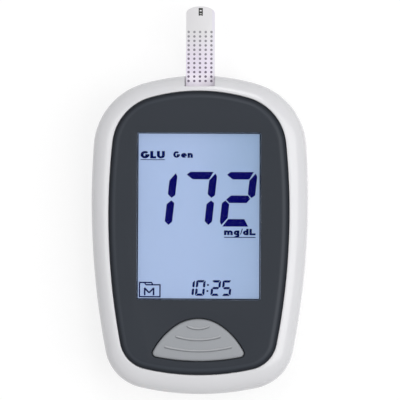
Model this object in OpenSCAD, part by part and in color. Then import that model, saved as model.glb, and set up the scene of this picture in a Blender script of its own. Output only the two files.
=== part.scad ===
// Hand-held blood glucose meter, lying on its back.
// Origin: on the resting plane under the middle of the body.
// +Z points out of the display face and +Y towards the test strip.

/* [Housing] */
// Full width of the housing at its widest
body_w = 62.6; // [60:0.2:70]
// Distance from the origin to the strip end of the housing
body_top = 46.3; // [45:0.1:52]
// Distance from the origin to the button end of the housing
body_bottom = 45.9; // [45:0.1:52]
// Height along Y at which the housing is widest
widest_y = 10.2; // [5:0.1:14]
// Radius of the strip end
top_r = 58.6; // [48:0.1:70]
// Radius of the long sides
side_r = 228; // [190:1:320]
// Radius of the button end
bottom_r = 76.6; // [60:0.1:100]
// Radius of the two corners at the strip end
upper_corner_r = 19.9; // [16:0.1:21]
// Radius of the two corners at the button end
lower_corner_r = 13.3; // [11:0.1:15]
// Height of the joint line between the two housing halves
part_z = 12.0; // [10:0.5:13]
// How far the back is rounded in from the joint line
back_round = 5.0; // [3:0.25:6]
// Thickness of the housing walls
wall = 2.0; // [1.6:0.1:2.4]
// Thickness of the back around the battery cover
floor_t = 1.8; // [1.7:0.1:2.2]

/* [Rim and bezel] */
// Width of the pale rim along the sides
rim_side = 5.2; // [4.5:0.05:6.5]
// Width of the pale rim at the strip end
rim_top = 4.5; // [4.3:0.1:5.5]
// Width of the pale rim at the button end
rim_bottom = 5.65; // [5:0.05:6.5]
// Height along Y at which the bezel is widest
bezel_widest_y = 6.3; // [4:0.1:10]
// Radius of the bezel's strip end
bezel_top_r = 51.7; // [46:0.5:62]
// Radius of the bezel's sides
bezel_side_r = 199.8; // [170:1:260]
// Radius of the bezel's button end
bezel_bottom_r = 70.4; // [60:0.5:90]
// Radius of the bezel's upper corners
bezel_upper_r = 15.1; // [13:0.1:17]
// Radius of the bezel's lower corners
bezel_lower_r = 9.1; // [8:0.1:11]
// Thickness of the bezel plate
bezel_t = 2.2; // [1.8:0.1:2.6]
// Rounding of the bezel's top edge
bezel_edge = 1.1; // [0.6:0.1:1.4]
// How far the bezel stands above the rim
bezel_proud = 0.7; // [0.4:0.1:1]
// Gap between the bezel and the rim
bezel_gap = 0.15; // [0.1:0.05:0.25]
// Flat land on top of the rim beside the bezel
rim_land = 0.4; // [0.3:0.05:0.8]
// Height over which the rim's outer side rounds in, above its upright foot
rim_round = 4.5; // [3:0.1:6]
// Thickness of the deck that carries the bezel
deck_t = 1.5; // [1.3:0.1:2]

/* [Display] */
// Width of the visible display area
view_w = 35.2; // [33:0.2:36]
// Height of the visible display area
view_h = 47.7; // [45:0.2:48.5]
// Middle of the display along Y
view_y = 5.6; // [5:0.1:6.5]
// How much larger the bezel's window is than the view, each side
window_margin = 0.35; // [0.2:0.05:0.5]
// Radius of the window's corners
window_r = 0.6; // [0.3:0.1:1.2]
// Width of the lens's hidden flange
lens_flange = 0.9; // [0.6:0.1:1.1]
// Gap round the lens in its seat
lens_gap = 0.15; // [0.1:0.05:0.2]
// Thickness of the lens's flange
lens_flange_t = 0.7; // [0.5:0.05:0.8]
// How far the lens's face lies below the bezel's face
lens_recess = 0.5; // [0.2:0.1:0.9]
// Thickness of each display glass
glass_t = 0.9; // [0.7:0.05:1]
// Glass beyond the view on each side
seal_margin = 1.4; // [1:0.1:1.6]
// Contact ledge of the front glass
ledge = 2.0; // [1.6:0.1:2.2]
// Thickness of the backlight's light guide
guide_t = 1.6; // [1.2:0.1:1.8]
// Wall of the frame round the display
frame_wall = 0.8; // [0.6:0.05:0.9]
// Thickness of the frame's lip over the glass
frame_lip_t = 0.5; // [0.4:0.05:0.6]
// Distance of the zebra strip's ends from the glass's ends
zebra_inset = 2.0; // [1:0.5:4]
// Width of the zebra strip's bare margin on the ledge
zebra_margin = 0.25; // [0.2:0.05:0.4]
// Length of each backlight package
led_w = 3.2; // [2.4:0.2:4]
// Depth of each backlight package
led_d = 0.9; // [0.7:0.05:1.1]
// Clearance between the glass and its frame
frame_gap = 0.15; // [0.1:0.05:0.25]

/* [Main button] */
// Distance below the origin of the button's top
button_top = 24.1; // [23.9:0.1:25]
// Distance below the origin of the button's lower edge
button_bottom = 36.2; // [35:0.1:37]
// Radius of the button's crown
button_crown_r = 10.7; // [9:0.1:12]
// Angle from X where the crown runs into the flanks
button_crown_angle = 57; // [50:1:62]
// Radius of the button's flanks
button_flank_r = 21.9; // [19:0.1:26]
// Radius of the button's lower edge
button_base_r = 64; // [50:1:90]
// Radius of the button's two corners
button_corner_r = 1.1; // [1:0.05:1.5]
// Height of the button above the bezel
button_proud = 1.0; // [0.6:0.1:1.4]
// Rounding of the button's top edge
button_edge = 0.7; // [0.4:0.1:0.9]
// Thickness of the hollow button's top
button_wall = 1.3; // [1:0.1:1.6]
// Retaining flange round the button's foot
button_flange = 0.7; // [0.5:0.05:0.8]
// Thickness of the retaining flange
button_flange_t = 0.8; // [0.6:0.1:1]
// Gap round the button
button_gap = 0.25; // [0.2:0.05:0.35]
// Travel of the button
button_travel = 0.5; // [0.3:0.05:0.6]
// Distance of the push stem from the button's top
stem_offset = 7.4; // [7:0.1:8]
// Diameter of the button's push stem
stem_d = 3.4; // [2.6:0.2:4]
// Height of the three grip beads
bead_h = 0.35; // [0.2:0.05:0.5]
// Width of the grip beads
bead_w = 0.5; // [0.3:0.05:0.8]
// Distance of the first bead from the button's top
bead_first = 2.95; // [2.6:0.05:3.2]
// Spacing of the beads
bead_pitch = 3.2; // [2.8:0.05:3.3]
// Half length of the first bead
bead_half = 3.3; // [2.5:0.1:3.8]
// How much longer each further half bead is
bead_grow = 3.25; // [2.6:0.05:3.3]
// Sag of the first bead's middle below its ends
bead_sag = 0.82; // [0.6:0.02:1]
// How much more each further bead sags
bead_sag_grow = 0.2; // [0.1:0.02:0.3]

/* [Batteries] */
// Length of an AAA cell over its nub
cell_l = 44.5; // [44:0.1:45]
// Diameter of an AAA cell
cell_d = 10.5; // [10.2:0.1:10.5]
// Diameter of the cell's positive nub
nub_d = 3.8; // [3.4:0.1:4]
// Height of the cell's positive nub
nub_h = 1.0; // [0.8:0.1:1.2]
// Clearance round each cell
cell_gap = 0.25; // [0.2:0.05:0.35]
// Distance between the two cells' axes
cell_pitch = 11.2; // [11:0.1:11.8]
// Distance from the origin to the lower end of the battery bay
bay_low = 35.2; // [34.8:0.1:35.6]
// Wall of the battery bay
bay_wall = 1.2; // [1:0.1:1.4]
// Roof of the battery bay
bay_roof_t = 1.2; // [1:0.1:1.5]
// Room for a contact spring
spring_room = 3.4; // [3:0.1:4]
// Thickness of the contact plates
plate_t = 0.4; // [0.3:0.05:0.5]
// Side of a contact plate
plate_side = 8.4; // [7.6:0.1:9]
// Height of the bump that meets the nub
bump_h = 0.7; // [0.5:0.05:0.9]
// Wire of the contact springs
spring_wire = 0.6; // [0.5:0.05:0.7]
// Width of the plates' solder tabs
tab_w = 2.0; // [1.6:0.1:2.6]
// Gap round the solder tabs
tab_gap = 0.3; // [0.2:0.05:0.4]
// Turns of the contact springs
spring_turns = 4; // [3:1:5]

/* [Battery cover] */
// Thickness of the battery cover
cover_t = 1.6; // [1.4:0.1:1.6]
// Ledge that the cover rests on beside the bay
cover_ledge = 2.0; // [1.6:0.1:2.4]
// Thickness of the tray that the cover lies in
tray_t = 1.5; // [1.2:0.1:1.6]
// Radius of the cover's corners
cover_r = 3.0; // [2:0.25:4]
// Gap round the cover
cover_gap = 0.15; // [0.1:0.05:0.25]
// Length of the cover beyond the bay at the strip end
cover_beyond = 7.2; // [7:0.1:8]
// Length of the cover beyond the bay at the button end
cover_foot = 3.2; // [3.1:0.1:3.6]
// Width of each hinge tongue
tongue_w = 3.4; // [2.6:0.2:4]
// Distance between the hinge tongues' middles
tongue_pitch = 16; // [14:0.5:18]
// Reach of the hinge tongues under the back
tongue_reach = 1.5; // [1.2:0.1:1.7]
// Gap beside and beyond each hinge tongue
tongue_gap = 0.3; // [0.2:0.05:0.4]
// Room behind the cover's edge for the tongues as the cover tilts open
tongue_swing = 4; // [3.5:0.25:4.5]
// Length of the tongues' roots on the cover
tongue_root = 2.0; // [1.6:0.1:2.2]
// Thickness of the hinge tongues
tongue_t = 0.9; // [0.8:0.05:1.1]
// Width of the snap latch
latch_w = 8; // [6:0.5:10]
// Height of the snap latch
latch_h = 4.0; // [3:0.2:5]
// Thickness of the snap latch
latch_t = 0.8; // [0.6:0.05:1]
// Distance of the snap latch from the cover's edge
latch_inset = 0.5; // [0.4:0.05:0.6]
// Gap round the snap latch
latch_gap = 0.4; // [0.3:0.05:0.45]
// Width of the thumb grooves
groove_w = 10; // [8:0.5:14]
// Spacing of the thumb grooves
groove_pitch = 1.6; // [1.4:0.1:2]
// Breadth of each thumb groove
groove_b = 0.7; // [0.5:0.1:0.9]
// Depth of the thumb grooves
groove_d = 0.3; // [0.2:0.05:0.5]
// Distance of the first thumb groove from the cover's edge
groove_inset = 4; // [3:0.5:6]

/* [Circuit board] */
// Thickness of the circuit board
pcb_t = 1.0; // [0.8:0.1:1.2]
// Gap between the board's edge and the housing
pcb_gap = 0.8; // [0.6:0.1:1.2]
// Side of the main button's switch
main_switch_side = 6.2; // [5.5:0.1:6.4]
// Side of the set button's switch
set_switch_side = 4.5; // [4:0.1:5]
// Height of both switch cases
switch_h = 1.8; // [1.5:0.1:2]
// Diameter of both switch plungers
plunger_d = 3.0; // [2.4:0.1:3.2]
// Depth of a plunger inside its case
plunger_seat = 0.5; // [0.4:0.05:0.6]
// Height of a plunger above its case
plunger_h = 0.6; // [0.6:0.05:0.8]
// Gap between the bay and the parts beside it on the board
part_gap = 1.5; // [1:0.1:2]
// Place of the microcontroller along Y
mcu_y = -4; // [-8:0.5:0]
// Place of the memory chip along Y
memory_y = 12; // [9:0.5:16]
// Place of the clock crystal along Y
crystal_y = -17; // [-19:0.5:-14]
// Place of the buzzer along Y
buzzer_y = 2; // [-10:1:10]
// Side of the microcontroller
mcu_side = 10; // [7:0.5:11]
// Height of the microcontroller
mcu_h = 1.4; // [1:0.1:1.6]
// Side of the memory chip
memory_side = 5; // [4:0.2:6]
// Diameter of the clock crystal
crystal_d = 2.0; // [1.6:0.1:2.4]
// Length of the clock crystal
crystal_l = 6.0; // [5:0.2:7]
// Diameter of the buzzer
buzzer_d = 9.0; // [8:0.2:10]
// Diameter of the buzzer's sound hole
buzzer_hole_d = 1.8; // [1.2:0.2:3]
// Depth of the buzzer's sound hole
buzzer_hole_depth = 0.8; // [0.5:0.1:1.2]
// Height of the buzzer
buzzer_h = 3.5; // [3:0.1:4]

/* [Set button] */
// Distance from the bay's end wall to the set button
set_offset = 4.2; // [4.1:0.1:4.4]
// Diameter of the set button
set_d = 3.6; // [3:0.1:3.8]
// Running gap round the set button
set_gap = 0.15; // [0.1:0.01:0.2]
// Wall of the set button's guide
set_wall = 1.2; // [1:0.1:1.3]
// Travel of the set button
set_travel = 0.4; // [0.3:0.05:0.5]
// Reach of the set button's flange beyond its shank
set_flange = 0.8; // [0.6:0.05:1]
// Thickness of the set button's flange
set_flange_t = 0.8; // [0.6:0.05:1]
// Length of the set button's tail above its flange
set_tail = 1.2; // [1:0.1:1.4]
// How far the set button's end lies inside its guide
set_recess = 0.5; // [0.3:0.1:1]

/* [Test strip and port] */
// Width of the test strip
strip_w = 8.3; // [7.5:0.1:8.5]
// Thickness of the test strip
strip_t = 0.45; // [0.35:0.05:0.6]
// Distance from the origin to the strip's free end
strip_end = 66.4; // [60:0.2:70]
// Length of the strip inside the meter
strip_inside = 8.6; // [7.6:0.2:8.8]
// Depth of the strip's rounded end
strip_tip = 2.0; // [1:0.1:3]
// Play of the strip in its slot, each side
slot_gap = 0.25; // [0.15:0.05:0.3]
// Depth of the notch in the rim
notch_depth = 3.1; // [3:0.1:3.8]
// Height of the strip above the circuit board
strip_lift = 0.9; // [0.8:0.05:1.1]
// Wall of the port behind the notch
port_wall = 1.2; // [1:0.1:1.5]
// Distance of the port's top below the deck
port_cover = 0.5; // [0.4:0.05:0.6]
// Distance of the port's corners inside the rim's face
port_inset = 0.4; // [0.35:0.05:0.5]
// Wall of the strip connector
connector_wall = 1.6; // [1.3:0.1:1.9]
// Height of the strip connector
connector_h = 2.8; // [2.5:0.1:3.2]
// Number of contacts in the strip connector
contacts = 4; // [3:1:5]
// Width of each contact
contact_w = 0.6; // [0.4:0.05:0.8]
// Thickness of each contact
contact_t = 0.2; // [0.15:0.01:0.25]
// Height of the contacts' arms above the strip's underside
contact_rise = 1.4; // [1.2:0.1:1.6]
// Reach of the contacts into the connector
contact_reach = 4.2; // [3.4:0.2:5]
// Wall behind the strip's inner end
connector_back = 0.8; // [0.6:0.1:1]
// Tip of each contact beyond the strip
contact_tip = 0.7; // [0.5:0.1:0.9]
// Length of each contact's solder foot
contact_foot = 1.2; // [0.8:0.1:1.4]
// Gap beside each contact in its channel
contact_gap = 0.1; // [0.08:0.01:0.15]

/* [Screws and label] */
// Distance of the upper screws from the centre line
upper_screw_x = 13.0; // [12.6:0.1:13.4]
// Distance of the upper screws above the origin
upper_screw_y = 35.2; // [35:0.1:35.6]
// Distance of the lower screws from the centre line
lower_screw_x = 18.6; // [18:0.1:19]
// Distance of the lower screws below the origin
lower_screw_y = 29.0; // [28:0.1:30]
// Diameter of the screws' shanks
screw_d = 2.0; // [1.8:0.1:2.2]
// Diameter of the screws' heads
head_d = 3.8; // [3.4:0.1:4]
// Height of the screws' heads
head_h = 1.4; // [1.2:0.1:1.6]
// Length of the screws under their heads
screw_l = 12; // [11:0.25:12.5]
// Clearance round the screws
screw_gap = 0.2; // [0.1:0.05:0.3]
// Depth of the holes for the screws' heads
sink_depth = 5.0; // [4.5:0.25:5.5]
// Wall of the rear screw bosses
boss_wall = 1.2; // [1:0.1:1.4]
// Wall of the front screw bosses
front_boss_wall = 1.6; // [1.4:0.1:1.7]
// Free depth beyond each screw's tip
pilot_spare = 0.6; // [0.4:0.1:0.8]
// Air between a screw's shank and its pilot hole
thread_gap = 0.05; // [0.02:0.01:0.06]
// Breadth of the cross recess in the screws' heads
cross_b = 0.5; // [0.4:0.05:0.7]
// Span of the cross recess
cross_w = 1.9; // [1.6:0.1:2.4]
// Depth of the cross recess
cross_d = 0.7; // [0.5:0.05:0.8]
// Gap round the label in its shallow recess
label_gap = 0.2; // [0.1:0.05:0.3]
// Width of the rating label
label_w = 28; // [20:1:30]
// Height of the rating label
label_h = 8; // [6:0.5:8.4]
// Thickness of the rating label
label_t = 0.2; // [0.1:0.05:0.3]

/* [Hidden] */
$fn = 48;
// General assembly clearance, overlap of fused shapes, and overrun of cuts
fit = 0.1;
tiny = 0.05;
over = 1;

// An outline is [half width, widest y, top, bottom, top r, side r, bottom r, upper r, lower r].
// Subtracting d * SHRINK moves the whole outline inwards by d.
SHRINK = [1, 0, 1, -1, 1, 1, 1, 1, 1];
BODY = [body_w / 2, widest_y, body_top, -body_bottom, top_r, side_r, bottom_r,
    upper_corner_r, lower_corner_r];
BEZEL = [body_w / 2 - rim_side, bezel_widest_y, body_top - rim_top, -body_bottom + rim_bottom,
    bezel_top_r, bezel_side_r, bezel_bottom_r, bezel_upper_r, bezel_lower_r];
SEAT = BEZEL + bezel_gap * SHRINK;
RIM = SEAT + rim_land * SHRINK;
end_steps = 7;
corner_steps = 10;
side_steps = 4;
// Share of a quarter turn that the rim's rounding makes before its flat land, in degrees
rim_angle = 80;
rim_rings = 7;
back_rings = 7;
edge_rings = 4;

// Heights of the stack, from the resting plane upwards
cell_z = cover_t + cell_gap + cell_d / 2;
bay_roof_z = cell_z + cell_d / 2 + cell_gap;
pcb_z = bay_roof_z + bay_roof_t;
pcb_top = pcb_z + pcb_t;
guide_z = pcb_top + fit;
rear_glass_z = guide_z + guide_t;
front_glass_z = rear_glass_z + glass_t;
lip_z = front_glass_z + glass_t;
deck_z = lip_z + frame_lip_t + fit;
seat_z = deck_z + deck_t;
bezel_z = seat_z + bezel_t;
rim_z = bezel_z - bezel_proud;
rim_foot_z = rim_z - rim_round;
lens_flange_z = seat_z - lens_flange_t;

// The display and its frame
window_w = view_w + 2 * window_margin;
window_h = view_h + 2 * window_margin;
glass_w = view_w + 2 * seal_margin;
rear_glass_h = view_h + 2 * seal_margin;
front_glass_h = rear_glass_h + ledge;
front_glass_y = view_y - ledge / 2;
frame_w = glass_w + 2 * (frame_gap + frame_wall);
frame_h = front_glass_h + 2 * (frame_gap + frame_wall);
zebra_w = glass_w - 2 * zebra_inset;
zebra_d = ledge - 2 * zebra_margin;

// The main button
button_z = bezel_z + button_proud;
button_foot_z = deck_z - fit - button_flange_t;
button_y = -(button_top + stem_offset);
main_plunger_z = pcb_top + switch_h + plunger_h;
BUTTON = [-button_top, -button_bottom, button_crown_r, button_crown_angle, button_flank_r,
    button_base_r, button_corner_r];
BUTTON_SHRINK = [1, -1, 1, 0, 1, 1, 1];

// The battery bay and its cover
bay_w = cell_pitch + cell_d + 2 * cell_gap;
bay_l = 2 * (fit + plate_t) + spring_room + cell_l + bump_h;
bay_y0 = -bay_low;
bay_y1 = bay_y0 + bay_l;
bay_y = (bay_y0 + bay_y1) / 2;
left_cell_y0 = bay_y0 + fit + plate_t + spring_room;
right_cell_y1 = bay_y1 - fit - plate_t - spring_room;
cover_w = bay_w + 2 * cover_ledge;
cover_y0 = bay_y0 - cover_foot;
cover_y1 = bay_y1 + cover_beyond;
recess_z = cover_t + cover_gap;
beside_bay = bay_w / 2 + bay_wall + part_gap;
tray_w = cover_w + 2 * (cover_gap + bay_wall);
tray_z = recess_z + tray_t;
latch_y0 = cover_y0 + latch_inset;
tongue_z = floor_t + cover_gap;
tongue_slot_w = tongue_w + 2 * tongue_gap;

// The set button
set_y = bay_y1 + set_offset;
set_plunger_z = pcb_z - switch_h - plunger_h;
set_flange_z = set_plunger_z - set_tail - set_flange_t;
set_guide_z = set_flange_z - fit;

// The strip and its port
strip_z = pcb_top + strip_lift;
strip_y0 = body_top - notch_depth - strip_inside;
slot_w = strip_w + 2 * slot_gap;
slot_z0 = strip_z - slot_gap;
slot_z1 = strip_z + strip_t + slot_gap;
notch_y = body_top - notch_depth;
port_y = notch_y - port_wall;
port_top = deck_z - port_cover;
connector_y1 = port_y - fit;
connector_y0 = strip_y0 - slot_gap - connector_back;
connector_w = slot_w + 2 * connector_wall;
contact_pitch = strip_w / (contacts + 1);
// Air between the drawn contacts and the strip that slides past them
touch_gap = 0.02;

// Screw positions, and the heights that their bosses share
SCREWS = [[upper_screw_x, upper_screw_y], [-upper_screw_x, upper_screw_y],
    [lower_screw_x, -lower_screw_y], [-lower_screw_x, -lower_screw_y]];
screw_hole_d = screw_d + 2 * screw_gap;
sink_d = head_d + 2 * screw_gap;
boss_d = sink_d + 2 * boss_wall;
front_boss_d = screw_d + 2 * front_boss_wall;
label_y = (cover_y1 + cover_gap + upper_screw_y - sink_d / 2) / 2;

// ---- Functions ----

function angle_to(a, b) = atan2(b[1] - a[1], b[0] - a[0]);

// The right-hand crossing of two circles
function crossing(c1, r1, c2, r2) =
    let (
        d = norm(c2 - c1),
        along = (r1 * r1 - r2 * r2 + d * d) / (2 * d),
        across = sqrt(r1 * r1 - along * along),
        u = (c2 - c1) / d,
        foot = c1 + along * u,
        side = [-u[1], u[0]],
        p = foot + across * side,
        q = foot - across * side
    ) p[0] > q[0] ? p : q;

// Points of an arc from angle a0 towards a1, without its last point
function arc(c, r, a0, a1, steps) =
    [for (i = [0 : steps - 1]) let (a = a0 + (a1 - a0) * i / steps) c + r * [cos(a), sin(a)]];

// Mirrors the right half of an outline, which starts and ends on the centre line
function both_halves(half) =
    concat(half, [for (i = [len(half) - 2 : -1 : 1]) [-half[i][0], half[i][1]]]);

// The closed outline of the body or the bezel, in five blended arcs a side
function body_outline(p) =
    let (
        top_c = [0, p[2] - p[4]],
        side_c = [p[0] - p[5], p[1]],
        low_c = [0, p[3] + p[6]],
        upper_c = crossing(top_c, p[4] - p[7], side_c, p[5] - p[7]),
        lower_c = crossing(low_c, p[6] - p[8], side_c, p[5] - p[8]),
        a1 = angle_to(top_c, upper_c),
        a2 = angle_to(side_c, upper_c),
        a3 = angle_to(side_c, lower_c),
        a4 = angle_to(low_c, lower_c)
    ) both_halves(concat(
        arc(top_c, p[4], 90, a1, end_steps),
        arc(upper_c, p[7], a1, a2, corner_steps),
        arc(side_c, p[5], a2, 0, side_steps),
        arc(side_c, p[5], 0, a3, side_steps),
        arc(lower_c, p[8], a3, a4, corner_steps),
        arc(low_c, p[6], a4, -90, end_steps),
        [[0, p[3]]]));

// The closed outline of the main button: crown, flank, corner and base arcs a side
function button_outline(p) =
    let (
        crown_c = [0, p[0] - p[2]],
        base_c = [0, p[1] + p[5]],
        flank_c = crown_c - (p[4] - p[2]) * [cos(p[3]), sin(p[3])],
        corner_c = crossing(flank_c, p[4] - p[6], base_c, p[5] - p[6]),
        a1 = angle_to(flank_c, corner_c),
        a2 = angle_to(base_c, corner_c)
    ) both_halves(concat(
        arc(crown_c, p[2], 90, p[3], end_steps),
        arc(flank_c, p[4], p[3], a1, corner_steps),
        arc(corner_c, p[6], a1, a2, side_steps),
        arc(base_c, p[5], a2, -90, end_steps),
        [[0, p[1]]]));

// Share of the way from the body's outline to the rim's inner edge, at height z
function rim_share(z) =
    let (a = asin(sin(rim_angle) * max(z - rim_foot_z, 0) / rim_round))
    (1 - cos(a)) / (1 - cos(rim_angle));

function rim_outline(z) = BODY + rim_share(z) * (RIM - BODY);

// How far the back's rounding lies inside the body's outline, at height z
function back_inset(z) = back_round * (1 - sin(acos(1 - min(z, part_z) / part_z)));

// ---- Building blocks ----

// A closed solid through a stack of rings, each [outline points, z], lowest first
module loft(rings) {
    n = len(rings[0][0]);
    top = (len(rings) - 1) * n;
    points = [for (ring = rings) for (p = ring[0]) [p[0], p[1], ring[1]]];
    sides = [for (k = [0 : n : top - n]) for (i = [0 : n - 1]) let (j = (i + 1) % n)
        [k + i, k + j, k + n + j, k + n + i]];
    polyhedron(points, concat(sides,
        [[for (i = [n - 1 : -1 : 0]) i], [for (i = [0 : n - 1]) top + i]]));
}

// A plate with square corners, centred on the centre line
module plate(w, h, y, z0, z1) {
    translate([-w / 2, y - h / 2, z0])
        cube([w, h, z1 - z0]);
}

// A plate with round corners, centred on the centre line
module round_plate(w, h, r, y, z0, z1) {
    translate([0, y, z0])
        linear_extrude(z1 - z0) {
            square([w - 2 * r, h], center = true);
            square([w, h - 2 * r], center = true);
            for (x = [-1, 1], s = [-1, 1])
                translate([x * (w / 2 - r), s * (h / 2 - r)])
                    circle(r);
        }
}

// A box centred on the centre line, from y0 to y1
module box(w, y0, y1, z0, z1) {
    translate([-w / 2, y0, z0])
        cube([w, y1 - y0, z1 - z0]);
}

module slab(outline, z0, z1) {
    translate([0, 0, z0])
        linear_extrude(z1 - z0)
            polygon(outline);
}

module post(x, y, d, z0, z1) {
    translate([x, y, z0])
        cylinder(h = z1 - z0, d = d);
}

module at_screws() {
    for (p = SCREWS)
        translate([p[0], p[1], 0])
            children();
}

// ---- Housing ----

module rear_outside() {
    loft([for (i = [0 : back_rings]) let (a = 90 * i / back_rings)
        [body_outline(BODY - back_round * (1 - sin(a)) * SHRINK), part_z * (1 - cos(a))]]);
}

module rear_cavity() {
    loft([for (i = [0 : back_rings]) let (z = floor_t + (part_z + over - floor_t) * i / back_rings)
        [body_outline(BODY - (back_inset(z) + wall) * SHRINK), z]]);
}

// Tray round the cover, battery bay, set button guide and screw bosses
module rear_inside_walls() {
    plate(tray_w, cover_y1 - cover_y0 + 2 * (cover_gap + bay_wall), (cover_y0 + cover_y1) / 2,
        0, tray_z);
    plate(bay_w + 2 * bay_wall, bay_l + 2 * bay_wall, bay_y, 0, pcb_z);
    post(0, set_y, set_d + 2 * (set_gap + set_wall), recess_z, set_guide_z);
    at_screws()
        cylinder(h = pcb_z, d = boss_d);
}

module rear_openings() {
    round_plate(cover_w + 2 * cover_gap, cover_y1 - cover_y0 + 2 * cover_gap, cover_r,
        (cover_y0 + cover_y1) / 2, -over, recess_z);
    plate(bay_w, bay_l, bay_y, 0, bay_roof_z);
    post(0, set_y, set_d + 2 * set_gap, 0, set_guide_z + over);
    for (s = [-1, 1])
        translate([s * tongue_pitch / 2, 0, 0]) {
            box(tongue_slot_w, cover_y1 - tongue_swing, cover_y1, recess_z - tiny, tray_z + over);
            box(tongue_slot_w, cover_y1 - tiny, cover_y1 + tongue_reach + tongue_gap, floor_t + tiny,
                tray_z + over);
        }
    box(latch_w + 2 * latch_gap, latch_y0 - latch_gap, latch_y0 + latch_t + latch_gap, 0,
        tray_z + over);
    // slots for the contact plates' solder tabs
    for (s = [-1, 1])
        translate([s * cell_pitch / 2, 0, 0])
            box(tab_w + 2 * tab_gap, bay_y1 - fit - plate_t - tab_gap, bay_y1, 0,
                pcb_z + over);
    at_screws() {
        translate([0, 0, -over])
            cylinder(h = sink_depth + over, d = sink_d);
        cylinder(h = pcb_z + over, d = screw_hole_d);
    }
    plate(label_w + 2 * label_gap, label_h + 2 * label_gap, label_y, -over, label_t + tiny);
}

module rear_housing() {
    color("gainsboro")
        difference() {
            union() {
                difference() {
                    rear_outside();
                    rear_cavity();
                }
                intersection() {
                    rear_inside_walls();
                    union() {
                        rear_outside();
                        slab(body_outline(BODY - wall * SHRINK), part_z - tiny, pcb_z + over);
                    }
                }
            }
            rear_openings();
        }
}

module front_outside() {
    loft(concat([[body_outline(BODY), part_z]],
        [for (i = [0 : rim_rings])
            let (a = rim_angle * i / rim_rings, z = rim_foot_z + rim_round * sin(a) / sin(rim_angle))
            [body_outline(rim_outline(z)), z]]));
}

module front_cavity() {
    loft([for (i = [0 : back_rings]) let (z = part_z + (deck_z - part_z) * i / back_rings)
        [body_outline(rim_outline(z) - wall * SHRINK), i == 0 ? z - over : z]]);
}

module front_openings() {
    slab(body_outline(SEAT), seat_z, rim_z + over);
    plate(window_w, window_h, view_y, deck_z - over, seat_z + over);
    plate(window_w + 2 * (lens_flange + lens_gap), window_h + 2 * (lens_flange + lens_gap),
        view_y, lens_flange_z - tiny, seat_z + over);
    slab(button_outline(BUTTON + button_gap * BUTTON_SHRINK), deck_z - over, seat_z + over);
    // notch in the rim, and the strip's slot behind it
    box(slot_w, notch_y, body_top + over, slot_z0, rim_z + over);
    box(slot_w, port_y - over, body_top + over, slot_z0, slot_z1);
    at_screws()
        translate([0, 0, pcb_top - over])
            cylinder(h = sink_depth + screw_l + pilot_spare - pcb_top + over,
                d = screw_d + 2 * thread_gap);
}

module front_housing() {
    color("whitesmoke")
        difference() {
            union() {
                difference() {
                    front_outside();
                    front_cavity();
                }
                at_screws()
                    translate([0, 0, pcb_top])
                        cylinder(h = deck_z + tiny - pcb_top, d = front_boss_d);
                box(slot_w + 2 * port_wall, port_y, rim_outline(port_top)[2] - port_inset,
                    slot_z0 - port_wall, port_top);
            }
            front_openings();
        }
}

module front_bezel() {
    color("darkslategray")
        difference() {
            loft(concat([[body_outline(BEZEL), seat_z]],
                [for (i = [0 : edge_rings]) let (a = 90 * i / edge_rings)
                    [body_outline(BEZEL - bezel_edge * (1 - cos(a)) * SHRINK),
                        bezel_z - bezel_edge * (1 - sin(a))]]));
            round_plate(window_w, window_h, window_r, view_y, seat_z - over, bezel_z + over);
            slab(button_outline(BUTTON + button_gap * BUTTON_SHRINK), seat_z - over,
                bezel_z + over);
        }
}

module housing_screws() {
    color("silver")
        at_screws() {
            translate([0, 0, sink_depth - head_h])
                difference() {
                    cylinder(h = head_h, d = head_d);
                    // cross recess
                    for (a = [0, 90])
                        rotate(a)
                            plate(cross_w, cross_b, 0, -over, cross_d);
                }
            translate([0, 0, sink_depth])
                cylinder(h = screw_l, d = screw_d);
        }
}

module back_label() {
    color("white")
        plate(label_w, label_h, label_y, tiny, label_t + tiny);
}

// ---- Display ----

module window_lens() {
    color("lightcyan", 0.4)
        union() {
            plate(window_w + 2 * lens_flange, window_h + 2 * lens_flange, view_y,
                lens_flange_z, seat_z);
            round_plate(window_w - fit, window_h - fit, window_r, view_y, lens_flange_z + tiny,
                bezel_z - lens_recess);
        }
}

module lcd_frame() {
    color("dimgray")
        difference() {
            plate(frame_w, frame_h, front_glass_y, pcb_top, lip_z + frame_lip_t);
            plate(frame_w - 2 * frame_wall, frame_h - 2 * frame_wall, front_glass_y,
                pcb_top - over, lip_z);
            plate(view_w, view_h, view_y, lip_z - over, lip_z + over);
        }
}

module lcd_front_glass() {
    color("lightsteelblue")
        plate(glass_w, front_glass_h, front_glass_y, front_glass_z, lip_z);
}

module lcd_rear_glass() {
    color("lightsteelblue")
        plate(glass_w, rear_glass_h, view_y, rear_glass_z, front_glass_z);
}

module light_guide() {
    color("aliceblue")
        box(glass_w, view_y - rear_glass_h / 2 + led_d + fit, view_y + rear_glass_h / 2, guide_z,
            rear_glass_z);
}

module backlight_leds() {
    color("lemonchiffon")
        for (x = [-1, 1])
            translate([x * view_w / 4, 0, 0])
                plate(led_w, led_d, view_y - rear_glass_h / 2 + led_d / 2, pcb_top,
                    rear_glass_z - fit);
}

module zebra_connector() {
    color("dimgray")
        plate(zebra_w, zebra_d, view_y - (rear_glass_h + ledge) / 2, pcb_top, front_glass_z);
}

// ---- Circuit board and what is soldered to it ----

module main_pcb() {
    color("seagreen")
        difference() {
            slab(body_outline(BODY - (wall + pcb_gap) * SHRINK), pcb_z, pcb_top);
            box(body_w, port_y - fit, body_top, pcb_z - over, pcb_top + over);
            at_screws()
                translate([0, 0, pcb_z - over])
                    cylinder(h = pcb_t + 2 * over, d = screw_hole_d);
        }
}

module microcontroller() {
    color("black")
        translate([-beside_bay - mcu_side, mcu_y - mcu_side / 2, pcb_z - mcu_h])
            cube([mcu_side, mcu_side, mcu_h]);
}

module memory_chip() {
    color("black")
        translate([-beside_bay - memory_side, memory_y - memory_side / 2, pcb_z - mcu_h])
            cube([memory_side, memory_side, mcu_h]);
}

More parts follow.
